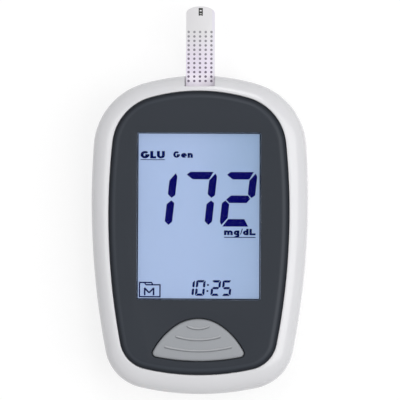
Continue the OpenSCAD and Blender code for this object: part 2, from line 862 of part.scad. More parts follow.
module clock_crystal() {
    color("silver")
        translate([-beside_bay - crystal_d, crystal_y - crystal_l / 2, pcb_z - crystal_d / 2])
            rotate([-90, 0, 0])
                cylinder(h = crystal_l, d = crystal_d);
}

module buzzer() {
    color("black")
        translate([beside_bay + buzzer_d / 2, buzzer_y, pcb_z - buzzer_h])
            difference() {
                cylinder(h = buzzer_h, d = buzzer_d);
                translate([0, 0, -over])
                    cylinder(h = over + buzzer_hole_depth, d = buzzer_hole_d);
            }
}

// A switch case standing on z = 0, with the bore that its plunger slides in
module switch_case(side, travel) {
    depth = plunger_seat + travel + fit;
    difference() {
        translate([-side / 2, -side / 2, 0])
            cube([side, side, switch_h]);
        translate([0, 0, switch_h - depth])
            cylinder(h = depth + over, d = plunger_d + 2 * fit);
    }
}

module switch_plunger() {
    translate([0, 0, switch_h - plunger_seat])
        cylinder(h = plunger_h + plunger_seat, d = plunger_d);
}

module main_switch() {
    color("silver")
        translate([0, button_y, pcb_top])
            switch_case(main_switch_side, button_travel);
}

module main_switch_plunger() {
    color("black")
        translate([0, button_y, pcb_top])
            switch_plunger();
}

module set_switch() {
    color("silver")
        translate([0, set_y, pcb_z])
            mirror([0, 0, 1])
                switch_case(set_switch_side, set_travel);
}

module set_switch_plunger() {
    color("black")
        translate([0, set_y, pcb_z])
            mirror([0, 0, 1])
                switch_plunger();
}

// ---- Buttons ----

// Bead number i: a part ring that sags towards the button's lower edge
module bead(i) {
    half = bead_half + i * bead_grow;
    sag = bead_sag + i * bead_sag_grow;
    r = (half * half + sag * sag) / (2 * sag);
    half_angle = asin(half / r);
    translate([0, r - button_top - bead_first - i * bead_pitch, button_z - bead_h])
        rotate(-90 - half_angle)
            rotate_extrude(angle = 2 * half_angle)
                translate([r - bead_w / 2, 0])
                    square([bead_w, 2 * bead_h]);
}

module main_button() {
    color("darkgray")
        union() {
            difference() {
                union() {
                    slab(button_outline(BUTTON + button_flange * BUTTON_SHRINK),
                        button_foot_z, button_foot_z + button_flange_t);
                    loft(concat([[button_outline(BUTTON), button_foot_z + tiny]],
                        [for (i = [0 : edge_rings]) let (a = 90 * i / edge_rings)
                            [button_outline(BUTTON - button_edge * (1 - cos(a)) * BUTTON_SHRINK),
                                button_z - button_edge * (1 - sin(a))]]));
                }
                slab(button_outline(BUTTON - (button_corner_r - fit) * BUTTON_SHRINK),
                    button_foot_z - over, button_z - button_wall);
            }
            post(0, button_y, stem_d, main_plunger_z, button_z - button_wall + tiny);
            for (i = [0 : 2])
                bead(i);
        }
}

module set_button() {
    color("gray")
        union() {
            post(0, set_y, set_d, recess_z + set_recess, set_flange_z + tiny);
            post(0, set_y, set_d + 2 * set_flange, set_flange_z, set_flange_z + set_flange_t);
            post(0, set_y, plunger_d, set_flange_z + set_flange_t - tiny, set_plunger_z);
        }
}

// ---- Strip port ----

module strip_connector() {
    color("ivory")
        difference() {
            box(connector_w, connector_y0, connector_y1, pcb_top, pcb_top + connector_h);
            box(slot_w, strip_y0 - slot_gap, connector_y1 + over, slot_z0, slot_z1);
            // channels that the contacts spring in
            for (i = [1 : contacts])
                translate([i * contact_pitch - strip_w / 2, 0, 0])
                    box(contact_w + 2 * contact_gap, connector_y0 - over,
                        connector_y0 + contact_reach + contact_tip + slot_gap,
                        strip_z + strip_t, pcb_top + connector_h + over);
        }
}

// Each contact is a bent strip: foot on the board, riser, and an arm down to the strip
module strip_contacts() {
    arm_z = strip_z + contact_rise;
    touch_z = strip_z + strip_t + touch_gap;
    t = contact_t;
    foot = fit + t + contact_foot;
    knee = contact_reach / 3;
    tip = contact_reach + contact_tip;
    color("gold")
        for (i = [1 : contacts])
            translate([-strip_w / 2 + i * contact_pitch + contact_w / 2, connector_y0, 0])
                rotate([90, 0, -90])
                    linear_extrude(contact_w)
                        polygon([[foot, pcb_top], [foot, pcb_top + t], [fit + t, pcb_top + t],
                            [fit + t, arm_z], [-knee, arm_z], [-contact_reach, touch_z + t],
                            [-tip, touch_z + 2.5 * t], [-tip, touch_z + 1.5 * t],
                            [-contact_reach, touch_z], [-knee, arm_z - t], [fit, arm_z - t],
                            [fit, pcb_top]]);
}

module test_strip() {
    tip_y = strip_end - strip_tip;
    color("white")
        translate([0, 0, strip_z])
            linear_extrude(strip_t)
                polygon(concat([[strip_w / 2, strip_y0]],
                    [for (a = [0 : 10 : 180])
                        [strip_w / 2 * cos(a), tip_y + strip_tip * sin(a)]],
                    [[-strip_w / 2, strip_y0]]));
}

// ---- Batteries ----

// A cell along +Y from the origin, its nub last
module cell() {
    rotate([-90, 0, 0])
        union() {
            cylinder(h = cell_l - nub_h, d = cell_d);
            cylinder(h = cell_l, d = nub_d);
        }
}

module battery_cell_left() {
    color("goldenrod")
        translate([-cell_pitch / 2, left_cell_y0, cell_z])
            cell();
}

module battery_cell_right() {
    color("goldenrod")
        translate([cell_pitch / 2, right_cell_y1, cell_z])
            mirror([0, 1, 0])
                cell();
}

// A contact plate standing against the bay's upper end wall, with its solder tab
module upper_plate(x) {
    translate([x, 0, 0]) {
        plate(plate_side, plate_t, bay_y1 - fit - plate_t / 2, cell_z - plate_side / 2,
            cell_z + plate_side / 2);
        plate(tab_w, plate_t, bay_y1 - fit - plate_t / 2, cell_z, pcb_z);
    }
}

module bump(x, y0) {
    translate([x, y0, cell_z])
        rotate([-90, 0, 0])
            cylinder(h = bump_h + tiny, d = nub_d);
}

module positive_contact() {
    color("silver")
        union() {
            upper_plate(-cell_pitch / 2);
            bump(-cell_pitch / 2, bay_y1 - fit - plate_t - bump_h);
        }
}

module negative_contact() {
    color("silver")
        upper_plate(cell_pitch / 2);
}

module bridge_contact() {
    color("silver")
        union() {
            plate(cell_pitch + plate_side, plate_t, bay_y0 + fit + plate_t / 2,
                cell_z - plate_side / 2, cell_z + plate_side / 2);
            bump(cell_pitch / 2, bay_y0 + fit + plate_t - tiny);
        }
}

// A conical coil along +Y from the origin: six-sided wire swept up a shrinking helix
module cell_spring() {
    foot_r = plate_side / 2 - spring_wire;
    tip_r = foot_r * 0.55;
    turn_steps = 16;
    sides = 6;
    rings = spring_turns * turn_steps;
    rise = spring_room - spring_wire;
    points = [for (k = [0 : rings]) let (
            t = k / rings,
            a = 360 * spring_turns * t,
            r = foot_r + (tip_r - foot_r) * t,
            y = spring_wire / 2 + rise * t)
        for (s = [0 : sides - 1]) let (
            b = 360 * s / sides,
            reach = r + spring_wire / 2 * cos(b))
        [reach * cos(a), y + spring_wire / 2 * sin(b), reach * sin(a)]];
    faces = [for (k = [0 : rings - 1]) for (s = [0 : sides - 1]) let (n = (s + 1) % sides)
        [k * sides + s, (k + 1) * sides + s, (k + 1) * sides + n, k * sides + n]];
    polyhedron(points, concat(faces,
        [[for (s = [0 : sides - 1]) s]],
        [[for (s = [sides - 1 : -1 : 0]) rings * sides + s]]));
}

module cell_spring_lower() {
    color("silver")
        translate([-cell_pitch / 2, bay_y0 + fit + plate_t, cell_z])
            cell_spring();
}

module cell_spring_upper() {
    color("silver")
        translate([cell_pitch / 2, bay_y1 - fit - plate_t, cell_z])
            rotate(180)
                cell_spring();
}

// ---- Battery cover ----

module battery_cover() {
    color("gainsboro")
        difference() {
            union() {
                round_plate(cover_w, cover_y1 - cover_y0, cover_r, (cover_y0 + cover_y1) / 2,
                    0, cover_t);
                for (s = [-1, 1])
                    translate([s * tongue_pitch / 2, 0, 0]) {
                        box(tongue_w, cover_y1 - tongue_root, cover_y1 + tongue_reach, tongue_z,
                            tongue_z + tongue_t);
                        box(tongue_w, cover_y1 - tongue_root, cover_y1, cover_t - tiny,
                            tongue_z + tongue_t);
                    }
                box(latch_w, latch_y0, latch_y0 + latch_t, cover_t - tiny, cover_t + latch_h);
            }
            // thumb grooves
            for (i = [0 : 3]) let (y = cover_y0 + groove_inset + groove_pitch * i)
                box(groove_w, y, y + groove_b, -over, groove_d);
        }
}

rear_housing();
front_housing();
front_bezel();
window_lens();
lcd_frame();
lcd_front_glass();
lcd_rear_glass();
light_guide();
backlight_leds();
zebra_connector();
main_pcb();
microcontroller();
memory_chip();
clock_crystal();
buzzer();
main_switch();
main_switch_plunger();
main_button();
set_switch();
set_switch_plunger();
set_button();
strip_connector();
strip_contacts();
test_strip();
battery_cell_left();
battery_cell_right();
battery_cover();
positive_contact();
negative_contact();
bridge_contact();
cell_spring_upper();
cell_spring_lower();
housing_screws();
back_label();
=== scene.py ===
import math

import bmesh
import bpy
import numpy as np
from mathutils import Matrix, Vector


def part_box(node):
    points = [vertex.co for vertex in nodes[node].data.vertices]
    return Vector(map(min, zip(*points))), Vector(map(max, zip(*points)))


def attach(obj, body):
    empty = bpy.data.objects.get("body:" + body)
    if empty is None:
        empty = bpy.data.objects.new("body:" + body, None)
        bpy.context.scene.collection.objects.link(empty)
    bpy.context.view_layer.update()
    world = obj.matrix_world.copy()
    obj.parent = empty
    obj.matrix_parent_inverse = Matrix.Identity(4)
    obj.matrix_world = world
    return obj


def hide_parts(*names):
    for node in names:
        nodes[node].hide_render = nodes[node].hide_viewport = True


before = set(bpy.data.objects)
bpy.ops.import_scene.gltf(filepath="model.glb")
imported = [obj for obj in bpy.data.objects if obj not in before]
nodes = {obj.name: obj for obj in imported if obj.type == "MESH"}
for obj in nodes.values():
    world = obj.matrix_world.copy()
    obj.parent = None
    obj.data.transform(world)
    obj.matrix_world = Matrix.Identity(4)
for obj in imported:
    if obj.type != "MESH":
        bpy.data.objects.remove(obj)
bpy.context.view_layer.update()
mm = 0.001

# ---- Studio ----
# A broad soft light hangs to the right over a white table, with a weak one to the left and one
# past the strip end, in an evenly lit white room. The camera looks nearly straight down.

lean, roll = math.radians(2.47), math.radians(0.23)
aim = Vector((-0.113, 10.296, 12)) * mm
view_distance, view_width, film_width = 3, 0.116, 36
sight = Vector((math.sin(lean), 0, math.cos(lean)))
right = Vector((-math.sin(roll), math.cos(roll), 0)).cross(sight).normalized()
camera = bpy.data.objects.new("camera", bpy.data.cameras.new("camera"))
bpy.context.scene.collection.objects.link(camera)
camera.matrix_world = (
    Matrix.Translation(aim + view_distance * sight)
    @ Matrix((right, sight.cross(right), sight)).transposed().to_4x4()
)
camera.data.sensor_width = film_width
camera.data.lens = film_width * view_distance / view_width
camera.data.clip_end = 100
bpy.context.scene.camera = camera
bpy.context.scene.view_settings.view_transform = "Standard"


def lamp(name, place, side, share):
    """A square soft light aimed at the meter. Its share is how much of a level surface's written
    brightness it gives: power = share * pi squared * distance squared / the cosine of its slant."""
    place, target = Vector(place), Vector((0, 0.01, 0.02))
    lit = bpy.data.objects.new(name, bpy.data.lights.new(name, "AREA"))
    bpy.context.scene.collection.objects.link(lit)
    reach = place - target
    lit.location = place
    lit.rotation_euler = reach.to_track_quat("Z", "Y").to_euler()
    lit.data.size = side
    lit.data.energy = share * (math.pi * reach.length) ** 2 * reach.length / reach.z
    lit.visible_camera = False


lamp("key_light", (0.58, -0.05, 0.98), side=0.9, share=0.41)
lamp("left_light", (-0.45, 0.1, 1.05), side=0.45, share=0.11)
lamp("end_light", (0.12, 0.62, 0.95), side=0.3, share=0.09)


def wire(tree, kind, settings=(), **inputs):
    """A node of that kind. An input is a number, a colour or the output that feeds it, and is
    named by its label with underscores for blanks, or by its number after an n."""
    node = tree.nodes.new(kind)
    for key, value in dict(settings).items():
        setattr(node, key, value)
    for key, value in inputs.items():
        socket = node.inputs[int(key[1:])] if key[1:].isdigit() else node.inputs[key.replace("_", " ")]
        if isinstance(value, bpy.types.NodeSocket):
            tree.links.new(value, socket)
        else:
            socket.default_value = value
    return node


def worked(tree, operation, *values):
    """The result of an arithmetic operation on one to three numbers or outputs."""
    given = {f"n{i}": value for i, value in enumerate(values)}
    return wire(tree, "ShaderNodeMath", {"operation": operation}, **given).outputs[0]


def fade(tree, value, start, stop, low=0.0, high=1.0, ease="SMOOTHSTEP"):
    """A number that goes from low to high as value goes from start to stop, and stays level beyond:
    softly, or evenly where ease is LINEAR."""
    return wire(tree, "ShaderNodeMapRange", {"interpolation_type": ease}, Value=value, From_Min=start,
        From_Max=stop, To_Min=low, To_Max=high).outputs["Result"]


def seen_share(tree):
    """1 for rays that the camera, a gloss or a glass sends, and 0 for all others."""
    rays = tree.nodes.new("ShaderNodeLightPath").outputs
    direct = worked(tree, "MAXIMUM", rays["Is Camera Ray"], rays["Is Glossy Ray"])
    return worked(tree, "MAXIMUM", direct, rays["Is Transmission Ray"])


fill_light, card_white, card_seen, card_glow = 0.36, 0.8, 0.3, 0.75
world = bpy.data.worlds.new("studio")
world.use_nodes = True
bpy.context.scene.world = world
room = world.node_tree
room.nodes["Background"].inputs["Color"].default_value = (1, 1, 1, 1)
room.links.new(fade(room, seen_share(room), 0, 1, fill_light, 1, "LINEAR"),
    room.nodes["Background"].inputs["Strength"])

table_top = bpy.data.meshes.new("table_top")
table_top.from_pydata([(-6, -6, 0), (6, -6, 0), (6, 6, 0), (-6, 6, 0)], [], [(0, 1, 2, 3)])
table = bpy.data.objects.new("table_top", table_top)
bpy.context.scene.collection.objects.link(table)
white_card = bpy.data.materials.new("white_card")
white_card.use_nodes = True
card = white_card.node_tree
paint = card.nodes["Principled BSDF"]
paint.inputs["Roughness"].default_value = 0.6
paint.inputs["Specular IOR Level"].default_value = 0.1
seen = seen_share(card)
card.links.new(fade(card, seen, 0, 1, card_white, card_seen, "LINEAR"), paint.inputs["Base Color"])
glow = wire(card, "ShaderNodeEmission", Strength=fade(card, seen, 0, 1, 0, card_glow, "LINEAR"))
both = wire(card, "ShaderNodeAddShader", n0=paint.outputs[0], n1=glow.outputs[0])
card.links.new(both.outputs[0], card.nodes["Material Output"].inputs["Surface"])
table_top.materials.append(white_card)

# ---- Rear housing ----
# The deep back half is moulded in satin pale grey ABS with a fine texture. It holds the board,
# the battery bay and the four screw bosses.


def new_group(name, inputs, outputs):
    """An empty shader node group with named inputs, each a colour or a number, and named outputs."""
    group = bpy.data.node_groups.new(name, "ShaderNodeTree")
    for side, sockets in (("INPUT", inputs), ("OUTPUT", outputs)):
        for label, value in sockets.items():
            kind = "NodeSocketColor" if isinstance(value, tuple) else "NodeSocketFloat"
            group.interface.new_socket(label, in_out=side, socket_type=kind).default_value = value
    return group, group.nodes.new("NodeGroupInput"), group.nodes.new("NodeGroupOutput")


def place_on(tree, axis=None):
    """The place on the piece in metres, or how far it lies along one axis."""
    spot = tree.nodes.new("ShaderNodeTexCoord").outputs["Object"]
    return wire(tree, "ShaderNodeSeparateXYZ", Vector=spot).outputs[axis] if axis else spot


def scaled(tree, colour, factor):
    """A colour times a number."""
    return wire(tree, "ShaderNodeVectorMath", {"operation": "SCALE"}, n0=colour, Scale=factor).outputs[0]


skin, given, made = new_group(
    "moulded_skin",
    {"Colour": (0.8, 0.8, 0.8, 1), "Fineness": 3000.0, "Mottle": 0.03, "Roughness": 0.4, "Spread": 0.05},
    {"Colour": (0, 0, 0, 1), "Roughness": 0.0, "Height": 0.0})
spot = place_on(skin)
fine = wire(skin, "ShaderNodeTexNoise", Vector=spot, Scale=given.outputs["Fineness"],
    Detail=2.0, Roughness=0.6).outputs["Fac"]
broad = wire(skin, "ShaderNodeTexNoise", Vector=spot, Scale=60.0, Detail=3.0).outputs["Fac"]
offset = worked(skin, "SUBTRACT", worked(skin, "ADD", fine, broad), 1.0)
tone = worked(skin, "MULTIPLY_ADD", offset, given.outputs["Mottle"], 1.0)
rough = worked(skin, "MULTIPLY_ADD", offset, given.outputs["Spread"], given.outputs["Roughness"])
skin.links.new(scaled(skin, given.outputs["Colour"], tone), made.inputs["Colour"])
skin.links.new(rough, made.inputs["Roughness"])
skin.links.new(fine, made.inputs["Height"])


def moulded(name, colour, roughness, grain=0.3, mottle=0.04, spread=0.08, relief=0.01, sockets=()):
    """A moulded or sheet finish: the skin group with a grain of that many millimetres, whose
    height is relief millimetres. Sockets are plain values set on the shader itself."""
    finish = bpy.data.materials.new(name)
    finish.use_nodes = True
    tree = finish.node_tree
    shader = tree.nodes["Principled BSDF"]
    face = tree.nodes.new("ShaderNodeGroup")
    face.node_tree = skin
    face.inputs["Colour"].default_value = (*colour, 1)
    for label, value in (("Fineness", 1000 / grain), ("Mottle", mottle),
            ("Roughness", roughness), ("Spread", spread)):
        face.inputs[label].default_value = value
    bump = wire(tree, "ShaderNodeBump", Strength=1.0, Distance=relief * mm,
        Height=face.outputs["Height"])
    tree.links.new(face.outputs["Colour"], shader.inputs["Base Color"])
    tree.links.new(face.outputs["Roughness"], shader.inputs["Roughness"])
    tree.links.new(bump.outputs[0], shader.inputs["Normal"])
    for label, value in dict(sockets).items():
        shader.inputs[label].default_value = value
    return finish


def dress(piece, finish, body, slot, *stands_for):
    """Gives a piece its finish and its body, and hides the nodes it stands for. The slot is not used."""
    piece.data.materials.clear()
    piece.data.materials.append(finish)
    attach(piece, body)
    if stands_for:
        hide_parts(*stands_for)


def smooth(piece, angle=30):
    """Smooth shading, with edges sharper than the angle kept crisp."""
    piece.data.shade_smooth()
    piece.data.set_sharp_from_angle(angle=math.radians(angle))


def round_edges(piece, width, steps, sharpest):
    """Rounds the edges that turn by more than sharpest degrees over width millimetres."""
    edge = piece.modifiers.new("edges", "BEVEL")
    edge.width, edge.segments = width * mm, steps
    edge.limit_method, edge.angle_limit = "ANGLE", math.radians(sharpest)
    return edge


def softened(name, node, width, steps=2):
    """A copy of a node, its equal corners merged and its flat faces joined, with every sharp edge
    rounded over width millimetres."""
    source = nodes[node].data
    spots = np.empty(3 * len(source.vertices))
    source.vertices.foreach_get("co", spots)
    corners = np.empty(len(source.loops), dtype=int)
    source.loops.foreach_get("vertex_index", corners)
    spots, index = np.unique(spots.reshape(-1, 3).round(7), axis=0, return_inverse=True)
    faces = index.ravel()[corners].reshape(-1, 3)
    whole = (faces != np.roll(faces, 1, axis=1)).all(axis=1)
    mesh = bpy.data.meshes.new(name)
    mesh.from_pydata(spots, [], faces[whole])
    work = bmesh.new()
    work.from_mesh(mesh)
    bmesh.ops.dissolve_limit(work, angle_limit=math.radians(0.5), verts=work.verts, edges=work.edges)
    work.to_mesh(mesh)
    work.free()
    piece = bpy.data.objects.new(name, mesh)
    bpy.context.scene.collection.objects.link(piece)
    mesh.shade_smooth()
    round_edges(piece, width, steps, 32).harden_normals = True
    return piece


back_plastic = moulded("satin_grey_abs", (0.70, 0.70, 0.73), 0.42, grain=0.25, relief=0.012,
    sockets={"Specular IOR Level": 0.45})
dress(softened("rear_shell", "rear_housing", 0.12), back_plastic, "housing", "back_shell",
    "rear_housing")

# ---- Front housing ----
# The pale pearl rim is one glossy moulding with the deck under the bezel, the notch for the
# strip, the port behind it and four bosses for the screws.

# Half width, widest height, top, bottom; then the radii of the strip end, the sides, the button
# end, the upper corners and the lower corners. Taking away d of inset moves it inwards by d.
body_form = np.array([31.3, 10.2, 46.3, -45.9, 58.6, 228, 76.6, 19.9, 13.3])
bezel_form = np.array([26.1, 6.3, 41.8, -40.25, 51.7, 199.8, 70.4, 15.1, 9.1])
inset = np.array([1, 0, 1, -1, 1, 1, 1, 1, 1])
seat_form = bezel_form + 0.15 * inset
land_form = seat_form + 0.4 * inset
joint_z, foot_z, deck_z, seat_z, rim_z, slope = 12, 17.4, 18.9, 20.4, 21.9, 80


def crossing(first, r1, second, r2):
    """The right-hand crossing of two circles, for whole arrays of centres and radii: along the
    line of centres by (r1^2 - r2^2 + d^2) / 2d, and off it by the rest of r1."""
    gap = second - first
    d = np.linalg.norm(gap, axis=-1, keepdims=True)
    along = (r1 ** 2 - r2 ** 2 + d ** 2) / (2 * d)
    across = np.sqrt(r1 ** 2 - along ** 2)
    u = gap / d
    side = np.stack([-u[..., 1], u[..., 0]], axis=-1)
    one, two = first + along * u + across * side, first + along * u - across * side
    return np.where(one[..., :1] > two[..., :1], one, two)


def arcs(*spans):
    """Points of arcs laid end to end: each is centre + radius * (cos, sin) of an angle that runs
    from its first value to its last in even steps. Each arc's last point is left to the next."""
    runs = []
    for centre, radius, start, stop, steps in spans:
        turn = start + (stop - start) * np.arange(steps) / steps
        ray = np.stack([np.cos(turn), np.sin(turn)], axis=-1)
        runs.append(centre[..., None, :] + radius[..., None] * ray)
    return np.concatenate(runs, axis=-2)


def facing(a, b):
    """The angle from a to b, one for each row."""
    return np.arctan2(b[..., 1:] - a[..., 1:], b[..., :1] - a[..., :1])


def both_sides(half, foot):
    """Closes the right half of an outline with its foot on the centre line and its mirror image,
    and turns the order round so that it runs anticlockwise seen from above."""
    half = np.concatenate([half, foot[..., None, :]], axis=-2)
    return np.concatenate([half, half[..., -2:0:-1, :] * (-1, 1)], axis=-2)[..., ::-1, :]


def on_axis(y):
    """A point on the centre line for each row."""
    return np.stack([0 * y, y], axis=-1)


def body_outline(form, ends=16, corners=26, sides=14):
    """Five tangent arcs a side: strip end, upper corner, side above and below its widest height,
    lower corner and button end. Form is one row, or one row for each ring."""
    form = np.asarray(form, dtype=float)
    w, y, top, low, top_r, side_r, low_r, upper_r, lower_r = (form[..., i] for i in range(9))
    top_c, low_c = on_axis(top - top_r), on_axis(low + low_r)
    side_c = np.stack([w - side_r, y], axis=-1)
    radii = (top_r, side_r, low_r, upper_r, lower_r)
    top_r, side_r, low_r, upper_r, lower_r = (r[..., None] for r in radii)
    upper_c = crossing(top_c, top_r - upper_r, side_c, side_r - upper_r)
    lower_c = crossing(low_c, low_r - lower_r, side_c, side_r - lower_r)
    a1, a2 = facing(top_c, upper_c), facing(side_c, upper_c)
    a3, a4 = facing(side_c, lower_c), facing(low_c, lower_c)
    quarter = math.pi / 2
    return both_sides(arcs((top_c, top_r, quarter, a1, ends), (upper_c, upper_r, a1, a2, corners),
        (side_c, side_r, a2, 0 * a2, sides), (side_c, side_r, 0 * a3, a3, sides),
        (lower_c, lower_r, a3, a4, corners), (low_c, low_r, a4, -quarter, ends)), on_axis(low))


def raised(outlines, heights):
    """Rings in space: one closed outline in millimetres for each height."""
    heights = np.asarray(heights, dtype=float)
    outlines = np.broadcast_to(outlines, (len(heights), *np.shape(outlines)[-2:]))
    tall = np.broadcast_to(heights[:, None, None], (*outlines.shape[:2], 1))
    return np.concatenate([outlines, tall], axis=2)


def shell(name, *parts):
    """Closed skins, each a stack of rings: point i of ring k joins point i + 1 and ring k + 1 in
    a four-sided face, and a flat face closes the first and the last ring."""
    spots, faces, start = [], [], 0
    for rings in parts:
        rows, count = rings.shape[:2]
        grid = start + np.arange(rows * count).reshape(rows, count)
        after = np.roll(grid, -1, axis=1)
        sides = np.stack([grid[:-1], after[:-1], after[1:], grid[1:]], axis=-1)
        faces += sides.reshape(-1, 4).tolist()
        faces += [grid[0, ::-1].tolist(), grid[-1].tolist()]
        spots.append(rings.reshape(-1, 3) * mm)
        start += rows * count
    mesh = bpy.data.meshes.new(name)
    mesh.from_pydata(np.concatenate(spots), [], faces)
    piece = bpy.data.objects.new(name, mesh)
    bpy.context.scene.collection.objects.link(piece)
    return piece


def joined(piece, tool, operation):
    """Cuts a closed tool out of a piece or fuses it on, and removes the tool."""
    cut = piece.modifiers.new("cut", "BOOLEAN")
    cut.object, cut.operation, cut.solver = tool, operation, "EXACT"
    done = bpy.data.meshes.new_from_object(piece.evaluated_get(bpy.context.evaluated_depsgraph_get()))
    piece.modifiers.clear()
    piece.data = done
    bpy.data.objects.remove(tool)


def rounded_box(width, height, radius, y, steps=6):
    """A rectangle about (0, y) whose corners are quarter circles, anticlockwise."""
    turn = np.linspace(0, math.pi / 2, steps + 1)
    corner = radius * np.stack([np.cos(turn), np.sin(turn)], axis=-1)
    middle = np.array([width / 2 - radius, height / 2 - radius])
    quarters = [middle + corner, middle * (-1, 1) + corner[::-1] * (-1, 1),
        -middle - corner, middle * (1, -1) + corner[::-1] * (1, -1)]
    return np.concatenate(quarters) + (0, y)


def circle(x, y, diameter, count=32):
    """A closed circle, anticlockwise."""
    turn = np.arange(count) * 2 * math.pi / count
    return np.array([x, y]) + diameter / 2 * np.stack([np.cos(turn), np.sin(turn)], axis=-1)


def button_outline(form, crown=14, flank=22, corner=10, base=18):
    """Four tangent arcs a side: crown, flank, corner and lower edge. Form is the top, the lower
    edge, the crown's radius and angle, and the radii of the flanks, the lower edge and the corners."""
    form = np.asarray(form, dtype=float)
    top, low, crown_r, crown_a, flank_r, base_r, corner_r = (form[..., i] for i in range(7))
    crown_a = np.radians(crown_a)[..., None]
    crown_c, base_c = on_axis(top - crown_r), on_axis(low + base_r)
    crown_r, flank_r, base_r, corner_r = (r[..., None] for r in (crown_r, flank_r, base_r, corner_r))
    crown_end = np.concatenate([np.cos(crown_a), np.sin(crown_a)], axis=-1)
    flank_c = crown_c - (flank_r - crown_r) * crown_end
    corner_c = crossing(flank_c, flank_r - corner_r, base_c, base_r - corner_r)
    a1, a2 = facing(flank_c, corner_c), facing(base_c, corner_c)
    quarter = math.pi / 2
    return both_sides(arcs((crown_c, crown_r, quarter, crown_a, crown),
        (flank_c, flank_r, crown_a, a1, flank), (corner_c, corner_r, a1, a2, corner),
        (base_c, base_r, a2, -quarter, base)), on_axis(low))


button_form = np.array([-24.1, -36.2, 11.4, 57, 19.9, 64, 1.1])
button_inset = np.array([1, -1, 1, 0, 1, 1, 1])
button_hole = button_form + 0.25 * button_inset


def rim_share(z):
    """How far the rim has come in at a height: nothing up to its upright foot, then
    (1 - cos a) / (1 - cos slope), with sin a rising evenly from the foot to the top."""
    up = (np.asarray(z, dtype=float) - foot_z).clip(0) / (rim_z - foot_z)
    sine = up * math.sin(math.radians(slope))
    return (1 - np.sqrt(1 - sine ** 2)) / (1 - math.cos(math.radians(slope)))


def rim_form(z):
    """The rim's outline at each height, from the body's at the foot to the land's on top."""
    return body_form + rim_share(z)[..., None] * (land_form - body_form)


# The skin runs from the deck down the inside, over the seam's small step, up the rim and over
# its brow to the seat.
wall, seam_in, seam_rise, brow = 2, 0.18, 0.15, 0.1
inner_z = np.linspace(deck_z, joint_z, 12)
turn = np.radians(np.linspace(0, slope, 30))
outer_z = np.concatenate([[joint_z + seam_rise],
    foot_z + (rim_z - foot_z) * np.sin(turn) / math.sin(math.radians(slope))])
front_forms = np.concatenate([rim_form(inner_z) - wall * inset, [body_form - seam_in * inset],
    rim_form(outer_z), [seat_form + d * inset for d in (brow, 0.3 * brow, 0, 0)]])
front_heights = np.concatenate([inner_z, [joint_z], outer_z,
    [rim_z, rim_z - 0.3 * brow, rim_z - brow, seat_z]])
front = shell("front_shell", raised(body_outline(front_forms), front_heights))

screw_places = [(13, 35.2), (-13, 35.2), (18.6, -29), (-18.6, -29)]
boss_d, boss_low, pilot_d, pilot_low, pilot_top = 5.2, 14.8, 2.1, 13.8, 17.6
port_w, port_back, port_low, port_top, port_set_in, weld = 11.2, 42, 14.25, 18.4, 0.4, 0.3
port_end = body_outline(rim_form(np.array(port_top)))[:, 1].max() - port_set_in
bosses = [raised(circle(x, y, boss_d), [boss_low, deck_z + weld]) for x, y in screw_places]
port = raised(rounded_box(port_w, port_end - port_back, 0.3, (port_end + port_back) / 2),
    [port_low, port_top])
joined(front, shell("fixings", *bosses, port), "UNION")

window_w, window_h, window_y = 35.9, 48.4, 5.6
ledge, ledge_z, clear_z = 2.1, 19.65, seat_z + 1
window = rounded_box(window_w, window_h, 0.4, window_y)
recess = rounded_box(window_w + ledge, window_h + ledge, 0.4, window_y)
slot_back, slot_low, slot_top, slot_half = 41, 15.45, 16.4, 4.4
notch_back, notch_end, notch_top = 43.2, 47.3, 23
side_profile = np.array([(slot_back, slot_low), (notch_end, slot_low), (notch_end, notch_top),
    (notch_back, notch_top), (notch_back, slot_top), (slot_back, slot_top)])
strip_way = np.stack([np.insert(side_profile, 0, x, axis=1) for x in (-slot_half, slot_half)])
pilots = [raised(circle(x, y, pilot_d), [pilot_low, pilot_top]) for x, y in screw_places]
joined(front, shell("openings",
    raised(np.stack([window, window, recess, recess]), [deck_z - 1, ledge_z, ledge_z, clear_z]),
    raised(button_outline(button_hole), [deck_z - 1, clear_z]), strip_way, *pilots), "DIFFERENCE")
round_edges(front, 0.12, 2, 50)
smooth(front)
pearl = moulded("gloss_pearl_abs", (0.77, 0.77, 0.795), 0.24, grain=0.12, mottle=0.03, spread=0.05,
    relief=0.002, sockets={"Coat Weight": 0.35, "Coat Roughness": 0.12})
dress(front, pearl, "housing", "pearl_shell", "front_housing")

# ---- Bezel ----
# A charcoal plate of satin acrylic, glued on the deck inside the rim. Its edge falls away in a
# wide arc, with a painted highlight along the shoulder and painted shade down the flank below it,
# and it has the window and the button's opening.

bezel_z, fall_r, steepest, nose, foot_cut = 22.6, 2.9, 50, 0.12, 0.08
turn = np.radians(np.linspace(steepest, 0, 16))
low_z = bezel_z - fall_r * (1 - math.cos(math.radians(steepest)))
reach = nose + fall_r * math.sin(math.radians(steepest))
bezel_in = np.concatenate([[foot_cut, 0, 0, 0.04], reach - fall_r * np.sin(turn)])
bezel_forms = bezel_form - bezel_in[:, None] * inset
bezel_heights = np.concatenate([[seat_z, seat_z + foot_cut, low_z - 0.15, low_z - 0.05],
    bezel_z - fall_r * (1 - np.cos(turn))])
bezel = shell("bezel_plate", raised(body_outline(bezel_forms), bezel_heights))

lip_r, window_r = 0.22, 0.6
lip = np.radians(np.linspace(0, 90, 6))
lip_z = np.concatenate([[seat_z - 1], bezel_z - lip_r * (1 - np.sin(lip)), [bezel_z + 1]])
flare = np.concatenate([[0], lip_r * (1 - np.cos(lip)), [lip_r]])
window_rings = np.stack([rounded_box(window_w + 2 * f, window_h + 2 * f, window_r + f, window_y)
    for f in flare])
joined(bezel, shell("openings", raised(window_rings, lip_z),
    raised(button_outline(button_hole + flare[:, None] * button_inset), lip_z)), "DIFFERENCE")
smooth(bezel)


